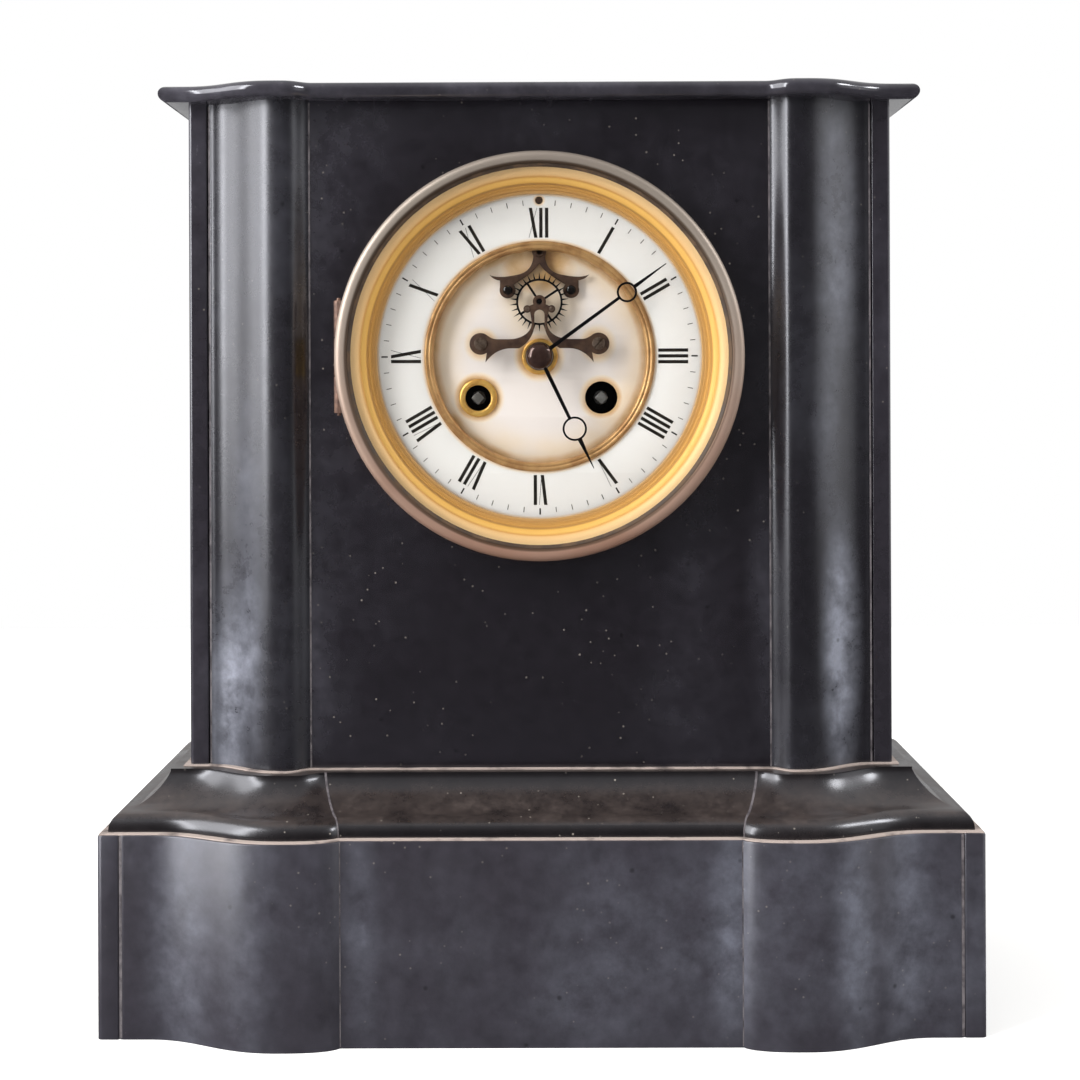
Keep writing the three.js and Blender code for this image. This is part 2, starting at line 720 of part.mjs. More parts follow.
function makePlates() {
  const pillars = [[22.1, 41.5], [-22.1, 41.5], [12.2, -45.4], [-12.2, -45.4]];
  const pivots = [intermediate, third, escape, pinWheel, warning, fly];
  const bores = pivots.map(({ x, z }) => [x, z, arborRadius + runningGap, rodSides]);
  bores.push([0, 0, centreArborRadius + runningGap]);
  bores.push([0, palletZ, palletArborRadius + runningGap]);
  bores.push([hammerPivot.x, hammerPivot.z, palletArborRadius + runningGap]);
  for (const barrel of [goingBarrel, strikeBarrel]) {
    bores.push([barrel.x, barrel.z, windingArborRadius + runningGap]);
  }
  const stud = [minuteWheel.x, minuteWheel.z, arborRadius + runningGap, rodSides];
  place(movement, "front_plate",
    slab(disc(plateRadius, [...bores, stud]), frontPlateY, trainFrontY), brass);
  const back = slab(disc(plateRadius, bores), backPlateY, backPlateRearY);
  const posts = pillars.map(([x, z]) => rod(x, z, pillarRadius, trainFrontY + gap, backPlateY + 1, holeSides));
  place(movement, "back_plate", join(back, ...posts), brass);

  const strapX = plateRadius + 0.6;
  const strapFrontY = chapterY + chapterThickness + gap + panThickness + gap;
  for (const [side, sign] of [["left", -1], ["right", 1]]) {
    const [x0, x1] = [sign * strapX, sign * (strapX + strapThickness)].sort((a, b) => a - b);
    place(movement, `movement_strap_${side}`,
      box(x0, x1, strapFrontY, bodyBackY - 1.5, -strapWidth / 2, strapWidth / 2), brass);
  }
}

function makeBarrels() {
  const bore = windingArborRadius + runningGap;
  for (const [name, barrel] of [["going", goingBarrel], ["strike", strikeBarrel]]) {
    const teeth = new THREE.Shape(wheelTeeth(barrelGear.teeth, barrelGear.module));
    teeth.holes.push(new THREE.Path(circle(0, 0, bore, holeSides)));
    const great = slab(teeth, greatWheelY, greatWheelY + greatWheelThickness);
    const drum = ring(drumRadius, bore, greatWheelY + greatWheelThickness / 2, drumBackY, drumSides);
    place(movement, `${name}_barrel`, join(great, drum), brass, barrel.x, barrel.z, barrel.turn);
    const half = windingSquare / 2;
    const square = box(-half, half, discY - 1.3, frontPlateY - 2, -half, half).rotateY(Math.PI / 4);
    const arbor = rod(0, 0, windingArborRadius, frontPlateY - 2.5, pivotBackY, holeSides);
    place(movement, `${name}_winding_arbor`, join(square, arbor), steel, barrel.x, barrel.z);
  }
}

// An arbor in two lengths with its pinion between them, at the wheel that drives it
function pinionArbor({ leaves, module }, wheelY, thickness, frontY = pivotFrontY) {
  const y0 = wheelY - pinionPastWheel;
  const y1 = wheelY + thickness + pinionPastWheel;
  return join(
    pinion(leaves, module, y0, y1),
    rod(0, 0, arborRadius, frontY, y0 + 0.2),
    rod(0, 0, arborRadius, y1 - 0.2, pivotBackY),
  );
}

const trainPiece = (name, at, ...pieces) =>
  place(movement, name, join(...pieces), brass, at.x, at.z, at.turn);

function makeGoingTrain() {
  trainPiece("intermediate_wheel", intermediate,
    trainWheel({ ...intermediateGear, y: intermediateY }),
    pinionArbor(barrelGear, greatWheelY, greatWheelThickness));
  trainPiece("third_wheel", third,
    trainWheel({ ...thirdGear, y: thirdWheelY, hub: 2 }),
    pinionArbor(centreGear, centreWheelY, wheelThickness));
  place(movement, "centre_wheel", join(
    rod(0, 0, centreArborRadius, nutFrontY + 2.1, pivotBackY),
    trainWheel({ ...centreGear, y: centreWheelY }),
    pinion(intermediateGear.leaves, intermediateGear.module, intermediateY - pinionPastWheel,
      intermediateY + wheelThickness + pinionPastWheel),
  ), brass);
}

// Depths of the motion work and the hands, back to front
const cannonY = frontPlateY - 4.4;
const hourWheelY = frontPlateY - 7.2;
const hourHandY = panelY - 4.9;
const minuteHandY = panelY - 6.7;
const handThickness = 0.8;
const nutFrontY = panelY - 10.9;

// A moon hand: boss, thin stem, open ring and tapered tip, pointing up in its own plane
function hand({ length, ringAt, ringRadius, ringBore, bossRadius: boss, bore, stem, neck, tip, y }) {
  const stemTurn = Math.asin(stem / boss);
  const neckTurn = Math.asin(neck / ringRadius);
  const tipTurn = Math.asin(tip / ringRadius);
  const half = new THREE.Path();
  half.absarc(0, 0, boss, -Math.PI / 2, Math.PI / 2 - stemTurn, false);
  half.absarc(0, ringAt, ringRadius, -Math.PI / 2 + neckTurn, Math.PI / 2 - tipTurn, false);
  half.lineTo(0.15, length);
  half.lineTo(0, length);
  const shape = mirrored(half, 4);
  shape.holes.push(new THREE.Path(circle(0, 0, bore, holeSides)));
  shape.holes.push(new THREE.Path(circle(0, ringAt, ringBore, 2 * holeSides)));
  return slab(shape, y, y + handThickness);
}

function makeHands() {
  const cannonBore = centreArborRadius + runningGap;
  place(movement, "cannon_pinion", join(
    ring(cannonRadius, cannonBore, minuteHandY, frontPlateY - gap, holeSides),
    cut(
      pinion(cannonGear.leaves, cannonGear.module, cannonY - pinionPastWheel / 2,
        cannonY + wheelThickness + pinionPastWheel),
      rod(0, 0, cannonBore + 0.2, frontPlateY - 20, frontPlateY, holeSides),
    ),
  ), steel);
  place(movement, "minute_wheel", join(
    rod(0, 0, arborRadius, hourWheelY - pinionPastWheel, trainFrontY - 0.5),
    trainWheel({ ...cannonGear, y: cannonY, hub: 2.2, spokes: 3 }),
    pinion(hourGear.leaves, hourGear.module, hourWheelY - pinionPastWheel, cannonY),
  ), brass, minuteWheel.x, minuteWheel.z, minuteWheel.turn);
  const pipeBore = cannonRadius + runningGap;
  const hourTeeth = new THREE.Shape(wheelTeeth(hourGear.teeth, hourGear.module));
  hourTeeth.holes.push(new THREE.Path(circle(0, 0, pipeBore + 0.2, holeSides)));
  place(movement, "hour_wheel", join(
    slab(hourTeeth, hourWheelY, hourWheelY + wheelThickness),
    ring(hourPipeRadius, pipeBore, hourHandY, hourWheelY + wheelThickness, holeSides),
  ), brass, 0, 0, centre.hourTurn);
  place(movement, "hour_hand", hand({
    length: 49, ringAt: 31.7, ringRadius: 4.8, ringBore: 4, bossRadius: 5.6,
    bore: hourPipeRadius + gap, stem: 0.8, neck: 0.65, tip: 0.9, y: hourHandY,
  }), bluedSteel, 0, 0, hourHandAngle - Math.PI / 2);
  place(movement, "minute_hand", hand({
    length: 61.6, ringAt: 42.5, ringRadius: 4, ringBore: 3.15, bossRadius: 4.8,
    bore: cannonRadius + gap, stem: 0.8, neck: 0.6, tip: 0.75, y: minuteHandY,
  }), bluedSteel, 0, 0, minuteHandAngle - Math.PI / 2);
  const nutBackY = minuteHandY - gap;
  place(movement, "hand_nut", turned([
    [0, nutFrontY],
    [3.4, nutFrontY + 0.7],
    [5.3, nutFrontY + 2.9],
    [5, nutBackY],
    [centreArborRadius + runningGap, nutBackY],
    [centreArborRadius + runningGap, nutFrontY + 2.1 - gap],
    [0, nutFrontY + 2.1 - gap],
  ], drumSides), brownSteel);
}

// The escapement in front of the dial's centre, drawn from the escape wheel's centre
const anchorFrontY = discY - 2.4;
const anchorBackY = discY - 1;
const escapeWheelY = discY - 4.2;
const cockFrontY = discY - 6.8;
const cockBackY = discY - 5.3;
const palletDrop = palletZ - escapeZ;
const palletTurn = (palletSpan * Math.PI) / escapeTeeth; // from the vertical to each pallet
const palletReach = escapeTip + palletClearance + palletRadius;

function makeEscapeWheel() {
  const pitch = (2 * Math.PI) / escapeTeeth;
  // At rest a tooth stands a quarter pitch past each pallet
  const toothTurn = Math.PI / 2 + palletTurn + pitch / 4;
  const points = [];
  for (let i = 0; i < escapeTeeth; i++) {
    for (const [radius, side] of [[escapeRim, -0.2], [escapeTip, 0], [escapeRim, 0.16]]) {
      const turn = toothTurn - escape.turn + (i + side) * pitch;
      points.push(new THREE.Vector2(radius * Math.cos(turn), radius * Math.sin(turn)));
    }
  }
  const shape = crossings(new THREE.Shape(points), escapeRim - escapeRimWidth, 2, escapeSpokes, 0.9,
    THREE.MathUtils.degToRad(33) - escape.turn);
  trainPiece("escape_wheel", escape,
    slab(shape, escapeWheelY, escapeWheelY + 1),
    pinionArbor(thirdGear, thirdWheelY, wheelThickness, cockFrontY + 0.3));
}

function makeAnchor() {
  const half = new THREE.Path();
  half.moveTo(0, palletDrop + 2.8);
  half.absarc(0, palletDrop, 2.8, Math.PI / 2, -Math.PI / 6, true);
  half.lineTo(2.4, palletDrop - 2.2);
  half.bezierCurveTo(2.7, 14, 5, 11.6, 8.6, 10.9);
  half.bezierCurveTo(12.5, 10.1, 16.8, 9.4, 19.8, 10.9);
  half.bezierCurveTo(18.4, 9.2, 17.2, 8.9, 15.6, 8.6);
  half.absarc(12.6, 4.75, bossRadius, 0.35, -Math.PI - 0.75, true);
  half.bezierCurveTo(6.4, 9.3, 1.8, 12, 0, 15.4);
  const shape = mirrored(half, 3);
  shape.holes.push(new THREE.Path(circle(0, palletDrop, palletArborRadius + gap, rodSides)));
  const seats = [1, -1].map((sign) => palletAt(sign));
  for (const seat of seats) {
    shape.holes.push(new THREE.Path(circle(seat.x, seat.z, palletRadius + gap, rodSides)));
  }
  place(movement, "pallet_anchor", slab(shape, anchorFrontY, anchorBackY), brownSteel, 0, escapeZ);

  // Half-round jewels with the round side to the coming tooth
  for (const [name, sign] of [["entry_pallet", -1], ["exit_pallet", 1]]) {
    const at = palletAt(sign);
    const section = new THREE.Shape().absarc(palletRadius / 2, 0, palletRadius, Math.PI / 2, 1.5 * Math.PI);
    place(movement, name, slab(section, escapeWheelY - gap, anchorBackY - 0.2, 4), jewel,
      at.x, escapeZ + at.z, -sign * palletTurn);
  }
}

// Where a pallet's centre stands, from the escape wheel's centre
function palletAt(sign) {
  return { x: sign * palletReach * Math.sin(palletTurn), z: palletReach * Math.cos(palletTurn) };
}

function makeCock() {
  const foot = { x: cockFootX, z: cockFootZ - escapeZ };
  const half = new THREE.Path();
  half.moveTo(0, 2.6);
  half.absarc(0, 0, 2.6, Math.PI / 2, -0.4, true);
  half.absarc(4.8, -2.9, 1.5, 2.2, -2.4, true);
  half.lineTo(3, -8.5);
  half.bezierCurveTo(3.2, -12.5, 7.5, -14.8, 12, -14.8);
  half.lineTo(16.5, -14.8);
  half.bezierCurveTo(18, -14.8, 19, -14.4, foot.x - 3.2, foot.z + 3);
  half.absarc(foot.x, foot.z, cockFootRadius, 2.36, -2.2, true);
  half.lineTo(21.4, -24);
  half.bezierCurveTo(19, -20.6, 15.5, -18.4, 11.5, -18.4);
  half.lineTo(8, -18.4);
  half.bezierCurveTo(4.6, -16.6, 2, -13, 2, -9);
  half.lineTo(2, -5.2);
  half.absarc(0, -5.2, 2, 0, Math.PI / 2, false);
  const shape = mirrored(half, 3);
  shape.holes.push(new THREE.Path(circle(0, 0, arborRadius + runningGap, rodSides)));
  const posts = [1, -1].map((sign) =>
    rod(sign * foot.x, foot.z, cockPostRadius, cockBackY - 0.5, frontPlateY - gap, holeSides));
  place(movement, "escape_cock", join(slab(shape, cockFrontY, cockBackY), ...posts), brownSteel, 0, escapeZ);
}

// Crutch, suspension and pendulum behind the back plate
const crutchY = backPlateRearY + 1.8;
const cockPlateY = backPlateRearY + 6;
const cockPlateThickness = 2.5;
const bobRadius = 27;
const bobHalfThickness = 4.6;
const pendulumRodRadius = 1.2;
const bobZ = floorZ - dialZ + pendulumFloorGap + ratingThread + bobRadius;

function makePendulum() {
  const forkZ = palletZ - 32;
  const prongX = pendulumRodRadius + slip;
  place(movement, "crutch", join(
    rod(0, palletZ, palletArborRadius, anchorFrontY - 0.5, cockPlateY + 2),
    box(-1.6, 1.6, crutchY, crutchY + 1.6, forkZ, palletZ),
    box(-prongX - 1.2, prongX + 1.2, crutchY, crutchY + 1.6, forkZ - 1, forkZ + 2),
    box(-prongX - 1.2, -prongX, crutchY, pendulumY + 3, forkZ - 1, forkZ + 1.5),
    box(prongX, prongX + 1.2, crutchY, pendulumY + 3, forkZ - 1, forkZ + 1.5),
  ), steel);

  // A bridge on two feet, tall enough to carry the regulator's end
  const half = new THREE.Path();
  half.moveTo(0, palletZ - 5);
  half.lineTo(5, palletZ - 5);
  half.lineTo(18, palletZ + 1);
  half.lineTo(18, palletZ + 9);
  half.lineTo(7, palletZ + 13);
  half.lineTo(5, regulatorZ + 2);
  half.absarc(0, regulatorZ, 5, 0.4, Math.PI / 2, false);
  const bridge = mirrored(half, 2);
  bridge.holes.push(new THREE.Path(circle(0, palletZ, palletArborRadius + runningGap, rodSides)));
  bridge.holes.push(new THREE.Path(circle(0, regulatorZ, regulatorRadius + runningGap, rodSides)));
  const feet = [14, -14].map((x) =>
    rod(x, palletZ + 5, 3, backPlateRearY + gap, cockPlateY + 1, holeSides));
  place(movement, "back_cock",
    join(slab(bridge, cockPlateY, cockPlateY + cockPlateThickness), ...feet), brass);

  const springHalf = 0.2;
  const springTop = palletZ + 8;
  const springFoot = palletZ - 5;
  const blockY = cockPlateY + cockPlateThickness + gap;
  const block = box(-4, 4, blockY, pendulumY + 4, palletZ + 3.5, palletZ + 12.5);
  const slotHalf = springHalf + 0.45;
  const slot = box(-slotHalf, slotHalf, blockY + 1, pendulumY + 5, palletZ + 3, springTop + 0.5);
  place(movement, "suspension_block", cut(block, slot), brass);
  place(movement, "suspension_spring",
    box(-springHalf, springHalf, pendulumY - 2.5, pendulumY + 2.5, springFoot, springTop), steel);

  const rodTop = springFoot - gap;
  const rodFoot = bobZ - bobRadius - ratingThread;
  const stem = new THREE.CylinderGeometry(pendulumRodRadius, pendulumRodRadius, rodTop - rodFoot, rodSides)
    .rotateX(Math.PI / 2)
    .translate(0, pendulumY, (rodTop + rodFoot) / 2);
  const clip = box(-1.2, 1.2, pendulumY - 3, pendulumY + 3, rodTop - 5, rodTop);
  place(movement, "pendulum_rod", join(stem, clip), brass);
  const boreRadius = pendulumRodRadius + gap;
  const bore = new THREE.CylinderGeometry(boreRadius, boreRadius, 3 * bobRadius, rodSides)
    .rotateX(Math.PI / 2)
    .translate(0, pendulumY, 0);
  const bob = turned([
    [0, pendulumY - bobHalfThickness],
    [bobRadius * 0.6, pendulumY - bobHalfThickness * 0.8],
    [bobRadius * 0.93, pendulumY - bobHalfThickness * 0.45],
    [bobRadius, pendulumY],
    [bobRadius * 0.93, pendulumY + bobHalfThickness * 0.45],
    [bobRadius * 0.6, pendulumY + bobHalfThickness * 0.8],
    [0, pendulumY + bobHalfThickness],
  ], drumSides);
  place(movement, "pendulum_bob", cut(bob, bore), brass, 0, bobZ);
  const nutTop = bobZ - bobRadius - gap;
  const nut = new THREE.CylinderGeometry(4.5, 4.5, 4, 10)
    .rotateX(Math.PI / 2)
    .translate(0, pendulumY, nutTop - 2);
  const nutBore = new THREE.CylinderGeometry(boreRadius, boreRadius, 10, rodSides)
    .rotateX(Math.PI / 2)
    .translate(0, pendulumY, nutTop - 2);
  place(movement, "rating_nut", cut(nut, nutBore), brass);

  const arborBackY = cockPlateY + cockPlateThickness + 3;
  place(movement, "regulator_arbor", join(
    rod(0, 0, regulatorRadius, chapterY + 0.5, arborBackY),
    rod(0, 0, 3, cockPlateY + cockPlateThickness + 0.5, arborBackY - 0.5, holeSides),
  ), steel, 0, regulatorZ);
}

// Strike train, hammer and bell
const strikePins = 8;
const pinCircle = 9.5;
const pinRadius = 0.6;
const bellRadius = 36;
const bellWall = 2;
const bellMouthY = pendulumY + 8.5;
const bellDepth = 21.8;
const hammerHead = { x: -39.7, z: -7 };

function makeStrike() {
  const pinTipY = backPlateY - 0.6;
  const pins = [];
  for (let i = 0; i < strikePins; i++) {
    const turn = (i * 2 * Math.PI) / strikePins;
    pins.push(rod(pinCircle * Math.cos(turn), pinCircle * Math.sin(turn), pinRadius,
      centreWheelY + 0.4, pinTipY, 4));
  }
  trainPiece("strike_pin_wheel", pinWheel,
    trainWheel({ ...pinGear, y: centreWheelY, hub: 2.4, rim: 2.4 }),
    pinionArbor(barrelGear, greatWheelY, greatWheelThickness),
    ...pins);
  trainPiece("strike_warning_wheel", warning,
    trainWheel({ ...warningGear, y: warningWheelY, hub: 2, rim: 1.2, spokes: 3 }),
    pinionArbor(pinGear, centreWheelY, wheelThickness));
  trainPiece("strike_fly", fly,
    box(-6, 6, trainFrontY + 6, trainFrontY + 19, -0.4, 0.4),
    pinionArbor(warningGear, warningWheelY, wheelThickness));

  // The hammer: an arbor, a tail by the pins, an arm outside the plate and a head at the bell's rim
  const toWheel = direction(hammerPivot, pinWheel);
  const reach = Math.hypot(pinWheel.x - hammerPivot.x, pinWheel.z - hammerPivot.z);
  const tailLength = reach - pinCircle - pinRadius - slip;
  const tail = box(0, tailLength, centreWheelY + wheelThickness + 0.4, pinTipY, -0.8, 0.8)
    .rotateY(-toWheel)
    .translate(hammerPivot.x, 0, hammerPivot.z);
  const headY = bellMouthY + 4.5;
  const armY = backPlateRearY + 1.5;
  const toHead = direction(hammerPivot, hammerHead);
  const armLength = Math.hypot(hammerHead.x - hammerPivot.x, hammerHead.z - hammerPivot.z);
  const arm = box(-2, armLength + 1.2, armY, armY + 1.6, -1.2, 1.2)
    .rotateY(-toHead)
    .translate(hammerPivot.x, 0, hammerPivot.z);
  const head = new THREE.CylinderGeometry(3, 3, 6, holeSides)
    .rotateZ(Math.PI / 2)
    .translate(hammerHead.x, headY, hammerHead.z);
  place(movement, "hammer", join(
    rod(hammerPivot.x, hammerPivot.z, palletArborRadius, pivotFrontY, armY + 1),
    tail,
    arm,
    rod(hammerHead.x, hammerHead.z, 1, armY, headY),
    head,
  ), steel);

  const stations = [[1, 0], [0.96, 0.38], [0.86, 0.66], [0.62, 0.88], [0.075, 1]];
  const outside = stations.map(([across, deep]) => [across * bellRadius, bellMouthY + deep * bellDepth]);
  const inside = stations.map(([across, deep]) => [
    Math.max(across * bellRadius - bellWall, 0.075 * bellRadius),
    bellMouthY + deep * (bellDepth - bellWall),
  ]);
  place(movement, "bell", turned([...outside, ...inside.reverse()], drumSides), bellMetal);

  const post = { x: 34, z: -27 };
  const armBackY = bellMouthY + bellDepth + gap;
  const toPost = Math.atan2(post.z, post.x);
  const bracket = box(-3, Math.hypot(post.x, post.z) + 3, armBackY, armBackY + 2.2, -3, 3).rotateY(-toPost);
  place(movement, "bell_stand", join(
    rod(post.x, post.z, 2.5, backPlateRearY + gap, armBackY + 1, holeSides),
    bracket,
    rod(0, 0, 0.075 * bellRadius - gap, armBackY - 3.5, armBackY + 1),
  ), steel);
}

function makeRear() {
  const flange = turned([
    [rearSleeve, backInnerY],
    [rearSleeve, rearFlangeY],
    [rearFlange, rearFlangeY],
    [rearFlange, rearFlangeY + rearFlangeThickness],
    [rearBore, rearFlangeY + rearFlangeThickness],
    [rearBore, backInnerY],
  ], innerSides);
  const middle = middleOf(rearHinge);
  const leafY = rearFlangeY + rearFlangeThickness;
  const fixedLeaf = box(rearFlange - 4, rearHinge.x + 1, rearFlangeY, leafY, -middle, middle);
  place(movement, "rear_ring", withFixedKnuckle(rearHinge, flange, fixedLeaf), brass);
  const coverBackY = rearCoverY + rearCoverThickness;
  const cover = turned([
    [0, rearCoverY - 1],
    [rearBore - 8, rearCoverY - 1],
    [rearBore - 5, rearCoverY],
    [rearCoverRadius, rearCoverY],
    [rearCoverRadius, coverBackY],
    [rearBore - 6, coverBackY],
    [rearBore - 9, coverBackY - 1],
    [0, coverBackY - 1],
  ], innerSides);
  const knob = rod(8 - rearCoverRadius, 0, 3, coverBackY - 0.5, coverBackY + 2.5, holeSides);
  const swingLeaf = box(rearCoverRadius - 4, rearHinge.x, rearCoverY, coverBackY,
    -rearHinge.half, rearHinge.half);
  const room = box(rearFlange - 1, rearHinge.x + 3, rearCoverY - 2, coverBackY + 3,
    -middle - slip, middle + slip);
  place(movement, "rear_cover", withSwingingKnuckles(rearHinge, join(cover, knob), swingLeaf, room), brass);
}

makeCase();
makeFrontDoor();
makeDial();
makePlates();
makeBarrels();
makeGoingTrain();
makeHands();
makeEscapeWheel();
makeAnchor();
makeCock();
makePendulum();
makeStrike();
makeRear();

export default object;
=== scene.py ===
# %% [markdown]
# # A black slate mantel clock
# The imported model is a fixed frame: every solid, joint and size of the clock is already settled there.
# This lesson gives it the surfaces of the real clock: polished slate that has bloomed with age, a worn
# brass door, stained enamel, browned steel and thin black hands. Each piece is modelled again where the
# frame's facets would show, and takes its place from the frame, so nothing has to be fitted by eye.

# %% Load the frame
import math
import bmesh
import bpy
from mathutils import Euler, Matrix, Vector
from mathutils.geometry import interpolate_bezier


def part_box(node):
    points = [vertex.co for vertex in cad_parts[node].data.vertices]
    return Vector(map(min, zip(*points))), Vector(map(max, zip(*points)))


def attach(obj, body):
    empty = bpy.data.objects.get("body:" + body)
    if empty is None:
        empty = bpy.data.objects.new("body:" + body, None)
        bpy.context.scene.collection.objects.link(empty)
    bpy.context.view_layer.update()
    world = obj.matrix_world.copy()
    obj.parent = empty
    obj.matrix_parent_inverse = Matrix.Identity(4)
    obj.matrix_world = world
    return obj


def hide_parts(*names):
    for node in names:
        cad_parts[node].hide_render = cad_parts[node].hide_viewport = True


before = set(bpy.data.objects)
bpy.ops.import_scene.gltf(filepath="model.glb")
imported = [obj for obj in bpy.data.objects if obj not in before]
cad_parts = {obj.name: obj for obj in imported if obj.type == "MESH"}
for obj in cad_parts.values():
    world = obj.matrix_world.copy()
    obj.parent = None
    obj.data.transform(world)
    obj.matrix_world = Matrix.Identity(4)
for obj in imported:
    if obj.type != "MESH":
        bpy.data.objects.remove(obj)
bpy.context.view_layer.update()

# %% [markdown]
# ## Tools for the bench
# The pieces are drawn in millimetres, as a maker would, and turned to metres at the very end. A piece
# is finished the same way each time: doubles merged, normals turned outwards, smooth shading that
# breaks at sharp corners, one material, and a body to ride on. One function does that.

# %% Millimetres, pieces and rounded edges
MM = 0.001


def span(node):
    """A node's lowest and highest corners at rest, in millimetres."""
    low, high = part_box(node)
    return Vector(low) / MM, Vector(high) / MM


def piece(name, bm, finish, body, slot, *nodes, crease=32):
    """Finishes a bmesh drawn in millimetres as a piece that rides on a body and stands for CAD nodes."""
    bmesh.ops.remove_doubles(bm, verts=bm.verts[:], dist=0.001)
    bmesh.ops.recalc_face_normals(bm, faces=bm.faces[:])
    bmesh.ops.scale(bm, vec=(MM, MM, MM), verts=bm.verts[:])
    mesh = bpy.data.meshes.new(name)
    bm.to_mesh(mesh)
    bm.free()
    mesh.shade_smooth()
    mesh.set_sharp_from_angle(angle=math.radians(crease))
    mesh.materials.append(finish)
    made = bpy.data.objects.new(name, mesh)
    bpy.context.scene.collection.objects.link(made)
    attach(made, body)
    if nodes:
        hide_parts(*nodes)
    print(name, "has", len(mesh.polygons), "faces")
    return made


def round_edges(bm, radius, segments=3, sharper_than=40):
    """Rounds every edge that turns by more than an angle."""
    limit = math.radians(sharper_than)
    edges = [e for e in bm.edges if e.is_manifold and e.calc_face_angle(0) > limit]
    bmesh.ops.bevel(bm, geom=edges, offset=radius, offset_type="OFFSET", affect="EDGES",
                    segments=segments, profile=0.5, material=-1, clamp_overlap=True)
    return bm


def joined(*parts):
    """Several bmeshes as one, each kept as its own closed shell."""
    whole = bmesh.new()
    for part in parts:
        spare = bpy.data.meshes.new("spare")
        bmesh.ops.recalc_face_normals(part, faces=part.faces[:])
        part.to_mesh(spare)
        part.free()
        whole.from_mesh(spare)
        bpy.data.meshes.remove(spare)
    return whole


print("plinth from", *span("base_plinth"), "mm")

# %% [markdown]
# Three ways of shaping cover the whole clock. Stone slabs are a plan outline pushed upwards. Rings,
# domes and rods are a profile spun round the dial's axis, as on a lathe. Flat work such as the hands,
# the cock and the wheel is sawn from sheet, so a flat curve with a small bevel makes it: the curve
# fills itself and leaves holes where one outline lies inside another.

# %% Slabs, turned work and sheet work
def slab(outline, low, high):
    """A plan outline of (x, y) pushed up from one height to another."""
    bm = bmesh.new()
    face = bm.faces.new([bm.verts.new((x, y, low)) for x, y in outline])
    top = bmesh.ops.extrude_face_region(bm, geom=[face], use_keep_orig=True)
    lifted = [v for v in top["geom"] if isinstance(v, bmesh.types.BMVert)]
    bmesh.ops.translate(bm, vec=(0, 0, high - low), verts=lifted)
    return bm


def stacked(levels):
    """A closed solid through plan outlines of equal length, each given with its own height."""
    bm = bmesh.new()
    loops = []
    for outline, z in levels:
        points = [bm.verts.new((x, y, z)) for x, y in outline]
        loops.append([bm.edges.new(pair) for pair in zip(points, points[1:] + points[:1])])
    for lower, upper in zip(loops, loops[1:]):
        bmesh.ops.bridge_loops(bm, edges=lower + upper)
    for end in (loops[0], loops[-1]):
        bmesh.ops.contextual_create(bm, geom=end)
    bmesh.ops.recalc_face_normals(bm, faces=bm.faces[:])
    return bm


def brick(low, high):
    """A plain block between two corners."""
    (x0, y0, z0), (x1, y1, z1) = low, high
    return slab([(x0, y0), (x1, y0), (x1, y1), (x0, y1)], z0, z1)


def turned(profile, x=0, z=0, steps=96, closed=True, gap=0):
    """A profile of (radius, y) spun about an axis along Y; an open profile ends on the axis.

    A gap is an angle left out on the left side."""
    bm = bmesh.new()
    points = [bm.verts.new((radius, y, 0)) for radius, y in profile]
    lines = [bm.edges.new(pair) for pair in zip(points, points[1:])]
    if closed:
        lines.append(bm.edges.new((points[-1], points[0])))
    bmesh.ops.rotate(bm, cent=(0, 0, 0), matrix=Matrix.Rotation(math.pi + gap / 2, 3, "Y"), verts=points)
    bmesh.ops.spin(bm, geom=points + lines, cent=(0, 0, 0), axis=(0, 1, 0), dvec=(0, 0, 0),
                   angle=2 * math.pi - gap, steps=steps, use_merge=gap == 0)
    if gap:
        bmesh.ops.holes_fill(bm, edges=[e for e in bm.edges if e.is_boundary], sides=0)
    bmesh.ops.remove_doubles(bm, verts=bm.verts[:], dist=0.001)
    bmesh.ops.recalc_face_normals(bm, faces=bm.faces[:])
    bmesh.ops.translate(bm, vec=(x, 0, z), verts=bm.verts[:])
    return bm


def rod(radius, front, back, x=0, z=0, steps=32):
    """A round rod along Y."""
    return turned([(0, front), (radius, front), (radius, back), (0, back)], x, z, steps, closed=False)


def sheet(outlines, front, back, x=0, z=0, turn=0, arris=0.12):
    """Sheet work from closed outlines of (x, z), with softened edges, turned clockwise as seen in front."""
    drawing = bpy.data.curves.new("drawing", "CURVE")
    drawing.dimensions = "2D"
    drawing.fill_mode = "BOTH"
    drawing.extrude = (back - front) / 2 - arris
    drawing.bevel_depth = arris
    drawing.bevel_resolution = 2
    drawing.offset = -arris
    for outline in outlines:
        line = drawing.splines.new("POLY")
        line.points.add(len(outline) - 1)
        for point, (px, pz) in zip(line.points, outline):
            point.co = (px, pz, 0, 1)
        line.use_cyclic_u = True
    holder = bpy.data.objects.new("drawing", drawing)
    mesh = bpy.data.meshes.new_from_object(holder)
    bm = bmesh.new()
    bm.from_mesh(mesh)
    bpy.data.objects.remove(holder)
    bpy.data.curves.remove(drawing)
    bpy.data.meshes.remove(mesh)
    bmesh.ops.remove_doubles(bm, verts=bm.verts[:], dist=0.001)
    upright = Euler((math.pi / 2, 0, 0)).to_matrix()
    bmesh.ops.rotate(bm, cent=(0, 0, 0), matrix=upright, verts=bm.verts[:])
    bmesh.ops.rotate(bm, cent=(0, 0, 0), matrix=Matrix.Rotation(turn, 3, "Y"), verts=bm.verts[:])
    bmesh.ops.translate(bm, vec=(x, (front + back) / 2, z), verts=bm.verts[:])
    return bm


trial = rod(1, 0, 5)
print("a trial rod has", len(trial.faces), "faces")
trial.free()

